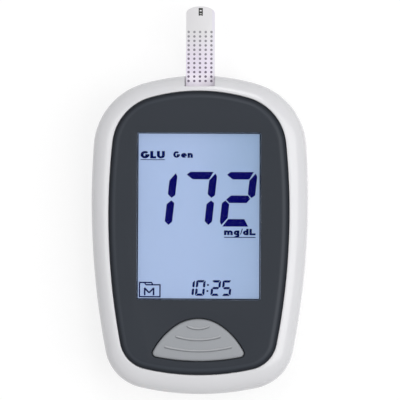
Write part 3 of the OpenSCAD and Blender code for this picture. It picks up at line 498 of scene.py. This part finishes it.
def mixed(tree, share, first, second, blend="MIX"):
    """Colour first where share is 0 and second where it is 1."""
    node = tree.nodes.new("ShaderNodeMix")
    node.data_type, node.blend_type = "RGBA", blend
    for socket, value in ((node.inputs[0], share), (node.inputs[6], first), (node.inputs[7], second)):
        if isinstance(value, bpy.types.NodeSocket):
            tree.links.new(value, socket)
        else:
            socket.default_value = value
    return node.outputs[2]


def skin_of(tree):
    """The node of the skin group in a finish."""
    return next(n for n in tree.nodes if n.type == "GROUP")


# The plate grey is the acrylic's own colour. The flank grey is painted shade down the falling edge, and
# the shoulder grey is a painted highlight just below the top.
plate_grey, flank_shade_grey = (0.0315, 0.037, 0.0475), (0.022, 0.026, 0.034)
shoulder_highlight_grey = (0.044, 0.051, 0.064)
charcoal = moulded("charcoal_acrylic", plate_grey, 0.36, grain=0.2, mottle=0.08, spread=0.08,
    relief=0.004, sockets={"Specular IOR Level": 0.15})
tree = charcoal.node_tree
height = place_on(tree, "Z")
below_top = fade(tree, height, (bezel_z - 0.01) * mm, (bezel_z - 0.1) * mm)
above_fall = fade(tree, height, (bezel_z - 0.55) * mm, (bezel_z - 0.15) * mm)
shoulder_highlight = worked(tree, "MULTIPLY", below_top, above_fall)
# This mask picks out the falling edge for the painted shade.
flank = fade(tree, height, (bezel_z - 0.22) * mm, (bezel_z - 0.55) * mm)
plate_with_flank_shade = mixed(tree, flank, (*plate_grey, 1), (*flank_shade_grey, 1))
tree.links.new(mixed(tree, shoulder_highlight, plate_with_flank_shade, (*shoulder_highlight_grey, 1)), skin_of(tree).inputs["Colour"])
dress(bezel, charcoal, "housing", "bezel_plastic", "front_bezel")

# ---- Window lens ----
# Clear hard-coated acrylic over the display, held down by its flange between the deck and the
# bezel. Its upper edge is softly broken, and a black print under it hides the display's frame.

lens_z, lens_gap, flange_gap, edge_r = 22.1, 0.1, 0.3, 0.07
edge_turn = np.radians(np.linspace(0, 90, 5))
shrink = edge_r * (1 - np.cos(edge_turn))
flange = rounded_box(window_w + ledge - flange_gap, window_h + ledge - flange_gap, 0.3, window_y)
lens_rings = np.stack([flange, flange,
    *[rounded_box(window_w - lens_gap - 2 * s, window_h - lens_gap - 2 * s, 0.55 - s, window_y)
        for s in (0, *shrink)]])
lens = shell("window_lens_clear", raised(lens_rings,
    [ledge_z + 0.05, seat_z, seat_z, *(lens_z - edge_r * (1 - np.sin(edge_turn)))]))
smooth(lens)
clear = moulded("clear_acrylic", (0.97, 0.98, 1.0), 0.03, grain=0.5, mottle=0.005, spread=0.02,
    relief=0.0003, sockets={"Transmission Weight": 1.0, "IOR": 1.45,
        "Specular Tint": (0.04, 0.04, 0.05, 1)})
dress(lens, clear, "housing", "clear_lens", "window_lens")

border_w, border_h, border_z = window_w + 1.5, window_h + 1.5, (ledge_z + 0.015, ledge_z + 0.045)
view_w, view_h, view_x, view_y = 35.0, 47.55, -0.1, window_y + 0.02
blackout = shell("lens_border", raised(rounded_box(border_w, border_h, 0.3, window_y), border_z))
view = rounded_box(view_w, view_h, 0.15, view_y) + (view_x, 0)
joined(blackout, shell("opening", raised(view, [deck_z, clear_z])), "DIFFERENCE")
dress(blackout, moulded("border_ink", (0.006, 0.007, 0.014), 0.6, grain=0.2, relief=0.001,
    sockets={"Specular IOR Level": 0.1}), "housing", "bezel_plastic")

# ---- Display ----
# A liquid crystal cell of two bonded glasses in a black frame, lit from behind through a light
# guide by two small lamps, and joined to the board by a striped rubber connector.

dress(softened("display_frame", "lcd_frame", 0.08),
    moulded("black_polycarbonate", (0.03, 0.031, 0.04), 0.5, grain=0.2, relief=0.006),
    "housing", "frame_plastic", "lcd_frame")


def lit_glass(name, bright, dim, share):
    """Display glass lit from behind. It is bright on the left and falls to dim towards the right
    edge, most of all at the strip end, with a faint cloudiness. Share is the part of its brightness
    that it gives off, and the rest is what it throws back."""
    finish = moulded(name, bright, 0.2, grain=0.8, mottle=0.02, spread=0.04, relief=0.0003)
    tree = finish.node_tree
    shader = tree.nodes["Principled BSDF"]
    upwards = fade(tree, place_on(tree, "Y"), -12 * mm, 30 * mm, 0.55, 1)
    across = fade(tree, place_on(tree, "X"), -5 * mm, 18.5 * mm)
    amount = worked(tree, "MULTIPLY", upwards, across)
    cloud = wire(tree, "ShaderNodeTexNoise", Vector=place_on(tree), Scale=90.0, Detail=2.0).outputs["Fac"]
    veil = fade(tree, cloud, 0, 1, 0.985, 1.015, "LINEAR")
    tint = mixed(tree, amount, (*bright, 1), (*dim, 1))
    lit = scaled(tree, tint, veil)
    tree.links.new(scaled(tree, lit, 1 - share), shader.inputs["Base Color"])
    tree.links.new(lit, shader.inputs["Emission Color"])
    shader.inputs["Emission Strength"].default_value = share
    return finish


dress(softened("display_front_glass", "lcd_front_glass", 0.05),
    lit_glass("lit_display_glass", (0.39, 0.505, 0.745), (0.29, 0.41, 0.605), 0.6),
    "housing", "display_glass", "lcd_front_glass")
dress(softened("display_rear_glass", "lcd_rear_glass", 0.05),
    lit_glass("polarised_glass", (0.36, 0.44, 0.64), (0.3, 0.38, 0.58), 0.1),
    "housing", "display_glass", "lcd_rear_glass")
dress(softened("backlight_guide", "light_guide", 0.08),
    moulded("milky_light_guide", (0.85, 0.88, 0.95), 0.25, grain=0.5, relief=0.004,
        sockets={"Subsurface Weight": 0.15}), "housing", "light_guide_plastic", "light_guide")
dress(softened("backlight_lamps", "backlight_leds", 0.06),
    moulded("phosphor_resin", (0.9, 0.86, 0.6), 0.4, grain=0.15, mottle=0.08),
    "housing", "led_package", "backlight_leds")


def recolour(finish, colour):
    """Feeds an output to the shader's colour in place of the skin's own."""
    tree = finish.node_tree
    tree.links.new(colour, tree.nodes["Principled BSDF"].inputs["Base Color"])


zebra = moulded("striped_rubber", (0.1, 0.1, 0.1), 0.6, grain=0.2)
tree = zebra.node_tree
stripes = wire(tree, "ShaderNodeTexWave", {"bands_direction": "X"}, Vector=place_on(tree), Scale=800.0)
recolour(zebra, mixed(tree, stripes.outputs["Fac"], (0.04, 0.04, 0.045, 1), (0.42, 0.36, 0.36, 1)))
dress(softened("striped_connector", "zebra_connector", 0.08), zebra, "housing", "zebra_rubber",
    "zebra_connector")

# ---- Readout ----
# Dark blue segments of the liquid crystal: three slanted figures, the clock, the unit, two mode
# words and a folder for stored readings. They lie on the front glass and let a little light through.

glass_z = 18.3
ink_low, ink_high = glass_z, glass_z + 0.03


def segment_ink(name, colour, glow):
    """The colour of a lit segment, and the light that comes through it."""
    return moulded(name, colour, 0.5, grain=0.4, mottle=0.05, relief=0.0005,
        sockets={"Emission Color": (*glow, 1), "Emission Strength": 0.4, "Specular IOR Level": 0.02})


def figure_bars(lit, x, y, column, row, bar, slant):
    """The lit bars of a seven-bar figure about (x, y). Column and row are half the distance between
    upright bars and the distance between level ones, bar is half a bar's breadth, and the figure
    leans by slant. Bars meet at mitred ends: a is the top, then clockwise to f, and g is the middle."""
    c, r, h = column, row, bar
    upright = np.array([(0.1 * h, 0.33 * h), (h, 1.05 * h), (h, r - 0.3 * h), (0.5 * h, r + 0.6 * h),
        (-h, r - 1.3 * h), (-h, 1.35 * h)])
    level = np.array([(-c - 0.5 * h, r + 0.26 * h), (-c + 0.46 * h, r + h), (c - 0.05 * h, r + h),
        (c - 1.05 * h, r - h), (-c + 1.2 * h, r - h)])
    middle = np.array([(-c, -0.1 * h), (-c + 1.2 * h, h), (c - 0.85 * h, h), (c - 0.22 * h, 0.1 * h),
        (c - 1.05 * h, -h), (-c + 0.95 * h, -h)])
    foot = np.array([(-c - 0.2 * h, -r - h), (-c + 1.15 * h, -r + h), (c - 1.2 * h, -r + h),
        (c + 0.05 * h, -r - h)])
    bars = {"a": level, "b": upright + (c, 0), "c": upright * (1, -1) + (c, 0), "d": foot,
        "e": upright * (-1, -1) - (c, 0), "f": upright * (-1, 1) - (c, 0), "g": middle}
    # Without a foot, the lower right bar runs on to a blunter end.
    if "d" not in lit:
        bars["c"][3:5] = (c + 0.1 * h, -r - 0.62 * h), (c - h, -r + 0.4 * h)
    shapes = [bars[part] for part in lit]
    return [np.stack([x + s[:, 0] + slant * s[:, 1], y + s[:, 1]], axis=1) for s in shapes]


def stroke(a, b, width):
    """A straight bar from a to b."""
    a, b = np.array(a, dtype=float), np.array(b, dtype=float)
    along = (b - a) / np.linalg.norm(b - a)
    off = np.array([-along[1], along[0]]) * width / 2
    return np.array([a - off, b - off, b + off, a + off])


def flat_shapes(name, shapes, low, high):
    """Thin plates of closed outlines between two heights, each turned anticlockwise first."""
    parts = []
    for s in shapes:
        area = np.sum(s[:, 0] * np.roll(s[:, 1], -1) - s[:, 1] * np.roll(s[:, 0], -1))
        parts.append(raised(s if area > 0 else s[::-1], [low, high]))
    return shell(name, *parts)


def bow(x, y, rx, ry, start, stop, stem, bar):
    """A bent bar about (x, y): out along an ellipse of radii rx and ry from one angle to another, and
    back along a second one, smaller by stem across and by bar upwards, with as many points."""
    turn = np.radians(np.linspace(start, stop, 19))
    point = np.stack([np.cos(turn), np.sin(turn)], axis=1)
    return np.concatenate([point * (rx, ry), point[::-1] * (rx - stem, ry - bar)]) + (x, y)


def letter(kind, x0, x1, base, tall, low, stem, bar):
    """The plates of one bold letter between x0 and x1 on the base line. Tall is the height of a
    capital, low that of a small letter, stem the breadth of uprights and bar that of the rest."""
    x, half, top = (x0 + x1) / 2, (x1 - x0) / 2, base + tall
    high = low if kind in "degmn" else tall
    bowl = (x, base + high / 2, half, high / 2)
    if kind == "G":
        arm = base + 0.42 * tall
        return [bow(*bowl, 42, 352, stem, bar), stroke((x + 0.05, arm), (x1, arm), bar)]
    if kind == "L":
        return [np.array([(x0, base), (x1, base), (x1, base + bar), (x0 + stem, base + bar),
            (x0 + stem, top), (x0, top)])]
    if kind == "U":
        outer, inner = np.split(bow(x, base + 0.9, half, 0.9, 180, 360, stem, bar), 2)
        return [np.concatenate([[(x0, top)], outer, [(x1, top), (x1 - stem, top)], inner,
            [(x0 + stem, top)]])]
    if kind == "e":
        arm = base + high / 2
        return [bow(*bowl, 0, 320, stem, bar), stroke((x0 + 0.3, arm), (x1, arm), 0.8 * bar)]
    if kind in "nm":
        legs = 1 if kind == "n" else 2
        pitch = (x1 - x0 - stem) / legs
        wide = (pitch + stem) / 2
        shapes = [stroke((x0 + stem / 2, base), (x0 + stem / 2, base + low), stem)]
        for leg in range(legs):
            left = x0 + leg * pitch
            arch = bow(left + wide, base + low - 0.6, wide, 0.6, 150, 0, stem, bar)
            outer, inner = np.split(arch, 2)
            leg_foot = [(left + pitch + stem, base), (left + pitch, base)]
            shapes.append(np.concatenate([outer, leg_foot, inner]))
        return shapes
    ends = (base, top) if kind == "d" else (base - 0.3, base + low)
    upright = stroke((x1 - stem / 2, ends[0]), (x1 - stem / 2, ends[1]), stem)
    hook = [bow(x, base - 0.2, half, 0.45, 0, -150, stem, bar)] if kind == "g" else []
    return [bow(*bowl, 3, 357, stem, bar), upright, *hook]


segment_blue = segment_ink("segment_blue", (0.0015, 0.0015, 0.07), (0, 0, 0.09))
lit_bars = {"0": "abcdef", "1": "bc", "2": "abged", "5": "afgcd", "7": "abc"}
reading = []
for figure, x in (("1", -11.8), ("7", -0.35), ("2", 11.25)):
    reading += figure_bars(lit_bars[figure], x, y=10.48, column=3.6, row=6.8, bar=1.08, slant=0.108)
dress(flat_shapes("reading", reading, ink_low, ink_high), segment_blue, "housing", "display_glass")

mark_navy = segment_ink("mark_navy", (0.001, 0.004, 0.05), (0, 0.004, 0.075))
clock = [circle(2.6, -14.2, 0.6, 12), circle(2.45, -15.95, 0.6, 12)]
for figure, x in (("1", -2.65), ("0", 0.4), ("2", 4.85), ("5", 8.0)):
    clock += figure_bars(lit_bars[figure], x, y=-15.08, column=1.02, row=1.93, bar=0.33, slant=0.1)
dress(flat_shapes("clock", clock, ink_low, ink_high), mark_navy, "housing", "display_glass")

# The rules under the first mode word and the unit, the folder's outline and the letter on it.
words = [stroke((-17.05, 21.8), (-10.05, 21.8), 0.2), stroke((7.1, -0.5), (16.2, -0.5), 0.24)]
words += [stroke(a, b, 0.38) for a, b in (
    ((-17.3, -13.6), (-13.6, -13.6)), ((-13.65, -13.55), (-13.3, -14.25)),
    ((-15.3, -14.25), (-11.05, -14.25)), ((-11.2, -14.2), (-11.2, -17.75)),
    ((-11.0, -17.7), (-17.3, -17.7)), ((-17.12, -17.6), (-17.12, -13.45)),
    ((-15.6, -13.7), (-15.25, -14.25)))]
words += [stroke(a, b, 0.46) for a, b in (
    ((-15.6, -17.3), (-15.6, -15.1)), ((-15.65, -15.2), (-14.33, -16.55)),
    ((-14.33, -16.55), (-13.0, -15.2)), ((-13.05, -15.1), (-13.05, -17.3)))]
dress(flat_shapes("folder_and_rules", words, ink_low, ink_high), mark_navy, "housing", "display_glass")

marks = [stroke((11.85, 0.3), (12.4, 2.0), 0.26)]
for kind, x0, x1 in (("G", -17.05, -14.5), ("L", -14.27, -12.55), ("U", -12.35, -10.05)):
    marks += letter(kind, x0, x1, base=22.18, tall=2.12, low=1.4, stem=0.86, bar=0.62)
for kind, x0, x1 in (("G", -7.65, -5.7), ("e", -5.4, -3.72), ("n", -3.5, -1.98)):
    marks += letter(kind, x0, x1, base=22.38, tall=1.88, low=1.38, stem=0.68, bar=0.5)
for kind, x0, x1 in (("m", 7.08, 9.62), ("g", 9.88, 11.52), ("d", 12.55, 14.2), ("L", 14.42, 16.2)):
    marks += letter(kind, x0, x1, base=0.12, tall=1.84, low=1.36, stem=0.7, bar=0.54)
dress(flat_shapes("words", marks, ink_low, ink_high), mark_navy, "housing", "display_glass")

# ---- Main button ----
# A hollow cap of grey ABS with a retaining flange, a push stem and three half-round beads across
# its face, each with a painted highlight on its side towards the display and painted shade on its
# side away from it. It slides on the plunger of the switch under it.

cap_z, cap_wall, cap_under, cap_r = 23.6, 1, 1.3, 0.7
flange_out, flange_low, flange_top, stem_y, stem_d, stem_low = 0.7, 18, 18.8, -31.5, 3.4, 17.2
turn = np.radians(np.linspace(0, 90, 9))
cap_in = np.concatenate([[cap_wall, cap_wall, -flange_out, -flange_out, 0, 0],
    cap_r * (1 - np.cos(turn))])
cap_forms = button_form - cap_in[:, None] * button_inset
cap_heights = np.concatenate([[cap_z - cap_under, flange_low, flange_low, flange_top, flange_top,
    flange_top + 0.1], cap_z - cap_r * (1 - np.sin(turn))])
bead_breadth, bead_height, bead_drop, bead_pitch = 0.37, 0.35, 2.85, 3.2


def grip_bead(number, count=44, around=14):
    """Bead on an arc that sags towards the lower edge, of radius (half^2 + sag^2) / (2 sag), each
    longer than the one above. Its half-round section keeps its breadth along the arc and closes in
    a quarter circle over the last half breadth at either end."""
    half, sag = 3.3 + 3.25 * number, 0.82 + 0.2 * number
    radius = (half ** 2 + sag ** 2) / (2 * sag)
    end, tip = math.asin(half / radius), bead_breadth / radius
    closing = tip * (1 - np.cos(np.linspace(0, math.pi / 2, 6)[:-1]))
    turn = np.concatenate([closing - end, np.linspace(tip - end, end - tip, count),
        end - closing[::-1]])
    swell = np.sqrt(np.clip(1 - ((np.abs(turn) - end + tip).clip(0) / tip) ** 2, 0.0004, 1))[:, None]
    ring = np.arange(around) * 2 * math.pi / around
    reach = radius + bead_breadth * swell * np.cos(ring)
    middle = radius + button_form[0] - bead_drop - bead_pitch * number
    return np.stack([reach * np.sin(turn)[:, None], middle - reach * np.cos(turn)[:, None],
        cap_z + bead_height * swell * np.sin(ring)], axis=2)[::-1]


beads = [grip_bead(i) for i in range(3)]
cap = shell("grey_button", raised(button_outline(cap_forms), cap_heights),
    raised(circle(0, stem_y, stem_d), [stem_low, cap_z - cap_under + 0.1]), *beads)
smooth(cap, 35)

# The light side value is minus the cosine of the angle round a bead: 1 on the side towards the
# display, which gets the painted highlight, -1 on the side away from it, which gets the painted
# shade, and 0 along its crest and on the cap.
around = beads[0].shape[1]
on_beads = np.tile(-np.cos(np.arange(around) * 2 * math.pi / around), sum(len(b) for b in beads))
bead_light_side = np.concatenate([np.zeros(len(cap.data.vertices) - len(on_beads)), on_beads])
cap.data.attributes.new("bead_light_side", "FLOAT", "POINT").data.foreach_set("value", bead_light_side)
grey_cap = moulded("grey_cap_abs", (0.33, 0.345, 0.37), 0.42, grain=0.22, mottle=0.05, relief=0.006)
tree = grey_cap.node_tree
# Painted light on the beads: paler as a painted highlight on the side towards the display, darker as
# painted shade on the side away from it.
light_side_fac = wire(tree, "ShaderNodeAttribute", {"attribute_name": "bead_light_side"}).outputs["Fac"]
painted_highlight = fade(tree, light_side_fac, 0.1, 0.5, ease="LINEAR")
painted_shade = fade(tree, light_side_fac, -0.1, -0.5, ease="LINEAR")
cap_with_painted_shade = mixed(tree, painted_shade, skin_of(tree).outputs["Colour"], (0.21, 0.22, 0.235, 1))
recolour(grey_cap, mixed(tree, painted_highlight, cap_with_painted_shade, (0.5, 0.51, 0.53, 1)))
dress(cap, grey_cap, "main_button_body", "button_grey", "main_button")

# ---- Test strip ----
# A laminated plastic strip with an oval free end, held in the port by the connector's contacts.
# A grid of fine dots and a small black ladder are printed on its upper face.

strip_half, strip_start, strip_end, tip_reach, strip_low, strip_high = 4.15, 34.6, 66.4, 2, 15.7, 16.15


def strip_outline(cut):
    """Two straight sides and a half ellipse at the free end, all moved in by cut."""
    turn = np.linspace(0, math.pi, 21)
    half, start = strip_half - cut, strip_start + cut
    tip = np.stack([half * np.cos(turn), strip_end - tip_reach + (tip_reach - cut) * np.sin(turn)], axis=1)
    return np.concatenate([tip, [(-half, start), (half, start)]])


strip_z = (strip_low, strip_low + 0.05, strip_high - 0.07, strip_high - 0.02, strip_high)
strip_rings = np.stack([strip_outline(cut) for cut in (0.06, 0, 0, 0.02, 0.06)])
strip = shell("strip_film", raised(strip_rings, strip_z))
smooth(strip)

# The laminate has a violet tinge towards the port. It is greyer along its right edge, and where it
# lies in the notch it is painted brighter, a painted light over the shadow of the notch walls.
film = moulded("strip_laminate", (0.8, 0.79, 0.81), 0.35, grain=0.3, mottle=0.02, relief=0.002)
tree = film.node_tree
towards_port = fade(tree, place_on(tree, "Y"), 60 * mm, 50 * mm)
right_edge = fade(tree, place_on(tree, "X"), 3.25 * mm, 3.5 * mm, ease="LINEAR")
# Painted light: brighter where the strip lies in the notch and its walls shade it.
notch_painted_light = fade(tree, place_on(tree, "Y"), 47.8 * mm, 45.5 * mm)
ground = mixed(tree, towards_port, (1.0, 1.0, 1.0, 1), (1.06, 0.985, 1.12, 1))
edged = mixed(tree, right_edge, ground, (0.98, 0.96, 1.04, 1))
ground_with_painted_light = mixed(tree, notch_painted_light, edged, (1.2, 1.14, 1.22, 1))
recolour(film, mixed(tree, 1.0, skin_of(tree).outputs["Colour"], ground_with_painted_light, "MULTIPLY"))
dress(strip, film, "test_strip_body", "strip_film", "test_strip")

print_z = (strip_high, strip_high + 0.015)
dot_d, first_row, row_pitch, row_count = 0.72, 58.95, 1.29, 12
columns, rows = np.meshgrid(np.linspace(-3.4, 3.2, 5), first_row - row_pitch * np.arange(row_count))
dots = flat_shapes("strip_dots",
    [circle(x, y, dot_d, 14) for x, y in zip(columns.ravel(), rows.ravel())], *print_z)
violet = moulded("violet_ink", (0.16, 0.13, 0.19), 0.6, grain=0.2, mottle=0.1, relief=0.001)
tree = violet.node_tree
fading = fade(tree, place_on(tree, "Y"), 47 * mm, 59 * mm, ease="LINEAR")
recolour(violet, mixed(tree, fading, skin_of(tree).outputs["Colour"], (0.3, 0.3, 0.32, 1)))
dress(dots, violet, "test_strip_body", "strip_film")

ladder = [stroke((-0.5, y), (0.62, y), w) for y, w in ((65.6, 0.6), (64.65, 0.6), (63.95, 0.42))]
ladder += [stroke((x, 65.85), (x, 63.65), 0.3) for x in (-0.38, 0.5)]
dress(flat_shapes("strip_ladder", ladder, *print_z),
    moulded("black_ink", (0.025, 0.027, 0.022), 0.5, grain=0.2, relief=0.001),
    "test_strip_body", "strip_film")

# ---- Circuit board ----
# Green glass-epoxy board behind the display with its controller, memory, crystal, buzzer and the
# two tactile switches of the buttons. Its copper lines show paler through the solder mask.

mask = moulded("solder_mask", (0.03, 0.2, 0.09), 0.35, grain=0.3, mottle=0.1, relief=0.004,
    sockets={"Coat Weight": 0.3, "Coat Roughness": 0.2})
tree = mask.node_tree
spot = place_on(tree)
traces = wire(tree, "ShaderNodeTexBrick", {"offset_frequency": 3, "squash_frequency": 2}, Vector=spot,
    Scale=300.0, Mortar_Size=0.05, Mortar_Smooth=0.2, Brick_Width=1.3, Row_Height=0.22, Bias=0.0)
patch = wire(tree, "ShaderNodeTexNoise", Vector=spot, Scale=120.0).outputs["Fac"]
lines = worked(tree, "MULTIPLY", fade(tree, patch, 0.45, 0.55), traces.outputs["Fac"])
recolour(mask, mixed(tree, lines, skin_of(tree).outputs["Colour"], (0.07, 0.33, 0.13, 1)))
dress(softened("circuit_board", "main_pcb", 0.06), mask, "housing", "circuit_board", "main_pcb")

epoxy = moulded("black_epoxy", (0.02, 0.02, 0.022), 0.55, grain=0.15, mottle=0.15, relief=0.01)
steel = moulded("drawn_steel", (0.62, 0.62, 0.63), 0.28, grain=0.1, mottle=0.06, spread=0.15,
    relief=0.002, sockets={"Metallic": 1.0})
plunger = moulded("black_nylon", (0.03, 0.03, 0.033), 0.45, grain=0.2, relief=0.005)
for name, node, finish, body, slot_name in (
        ("controller_chip", "microcontroller", epoxy, "housing", "chip_black"),
        ("memory_package", "memory_chip", epoxy, "housing", "chip_black"),
        ("crystal_can", "clock_crystal", steel, "housing", "crystal_can"),
        ("buzzer_case", "buzzer", epoxy, "housing", "chip_black"),
        ("main_switch_case", "main_switch", steel, "housing", "switch_steel"),
        ("main_plunger", "main_switch_plunger", plunger, "main_button_body", "plunger_plastic"),
        ("set_switch_case", "set_switch", steel, "housing", "switch_steel"),
        ("set_plunger", "set_switch_plunger", plunger, "set_button_body", "plunger_plastic")):
    dress(softened(name, node, 0.08), finish, body, slot_name, node)

# ---- Strip connector ----
# A cream nylon block behind the port, on the board, with four gilt spring contacts that press on
# the strip.

dress(softened("connector_block", "strip_connector", 0.06),
    moulded("cream_nylon", (0.8, 0.78, 0.7), 0.45, grain=0.25, relief=0.006),
    "housing", "connector_plastic", "strip_connector")
dress(softened("contact_springs", "strip_contacts", 0.02),
    moulded("gilt_bronze", (0.85, 0.65, 0.3), 0.22, grain=0.1, spread=0.12, relief=0.001,
        sockets={"Metallic": 1.0}), "housing", "contact_gold", "strip_contacts")

# ---- Set button ----
# A small grey rubber button behind the battery cover, for setting the clock. A flange inside the
# wall keeps it in its hole, and its stem rests on the plunger of its switch.

dress(softened("rubber_set_button", "set_button", 0.15, 3),
    moulded("grey_rubber", (0.35, 0.35, 0.36), 0.7, grain=0.2, relief=0.01),
    "set_button_body", "set_button_grey", "set_button")

# ---- Cells ----
# Two AAA cells lie side by side, head to tail, between plated steel contacts. Each steel can
# wears a printed film sleeve, dark with a copper band at the positive end.


def sleeve(name, low, high):
    """A cell's film sleeve from the negative end at low to the positive end at high, in
    millimetres along Y: bare steel at both ends, a dark body, then the copper band."""
    steel_grey, body_black, band_start = (0.62, 0.62, 0.63, 1), (0.05, 0.05, 0.06), 0.66
    finish = moulded(name, body_black, 0.3, grain=0.4, relief=0.002, sockets={"Coat Weight": 0.4})
    tree = finish.node_tree
    share = fade(tree, place_on(tree, "Y"), low * mm, high * mm, ease="LINEAR")
    ramp = wire(tree, "ShaderNodeValToRGB", Fac=share)
    ramp.color_ramp.interpolation = "CONSTANT"
    bands = ((0.008, (*body_black, 1)), (band_start, (0.62, 0.6, 0.5, 1)), (0.672, (0.55, 0.24, 0.09, 1)),
        (0.968, steel_grey))
    for at, colour in bands:
        ramp.color_ramp.elements.new(at).color = colour
    ramp.color_ramp.elements[0].color = steel_grey
    ramp.color_ramp.elements[-1].color = steel_grey
    recolour(finish, ramp.outputs["Color"])
    foil = worked(tree, "GREATER_THAN", share, band_start)
    tree.links.new(foil, tree.nodes["Principled BSDF"].inputs["Metallic"])
    return finish


left_low, left_high = (c[1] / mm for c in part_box("battery_cell_left"))
right_low, right_high = (c[1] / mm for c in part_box("battery_cell_right"))
dress(softened("left_cell", "battery_cell_left", 0.25, 3), sleeve("sleeve_left", left_low, left_high),
    "housing", "cell_jacket", "battery_cell_left")
dress(softened("right_cell", "battery_cell_right", 0.25, 3),
    sleeve("sleeve_right", right_high, right_low), "housing", "cell_jacket", "battery_cell_right")
plated = moulded("nickel_plate", (0.75, 0.74, 0.72), 0.22, grain=0.1, spread=0.12, relief=0.001,
    sockets={"Metallic": 1.0})
for name, node, width in (
        ("plus_plate", "positive_contact", 0.06),
        ("minus_plate", "negative_contact", 0.06),
        ("joining_plate", "bridge_contact", 0.06),
        ("upper_coil", "cell_spring_upper", 0.03),
        ("lower_coil", "cell_spring_lower", 0.03)):
    dress(softened(name, node, width), plated, "housing", "plated_steel", node)

# ---- Battery cover, screws and label ----
# The ABS cover hooks into the back on two tongues and snaps at its other end. Four cross-head
# steel screws close the housing, and a plain paper label is stuck in a shallow recess.

dress(softened("cover_plate", "battery_cover", 0.15),
    moulded("satin_cover_abs", (0.68, 0.68, 0.71), 0.45, grain=0.25, relief=0.012),
    "battery_cover_body", "cover_shell", "battery_cover")
dress(softened("cross_head_screws", "housing_screws", 0.08),
    moulded("zinc_steel", (0.55, 0.55, 0.56), 0.3, grain=0.12, spread=0.15, relief=0.003,
        sockets={"Metallic": 1.0}), "housing", "screw_steel", "housing_screws")
dress(softened("plain_label", "back_label", 0.04),
    moulded("label_paper", (0.85, 0.85, 0.84), 0.6, grain=0.12, mottle=0.03, relief=0.004),
    "housing", "label_paper", "back_label")
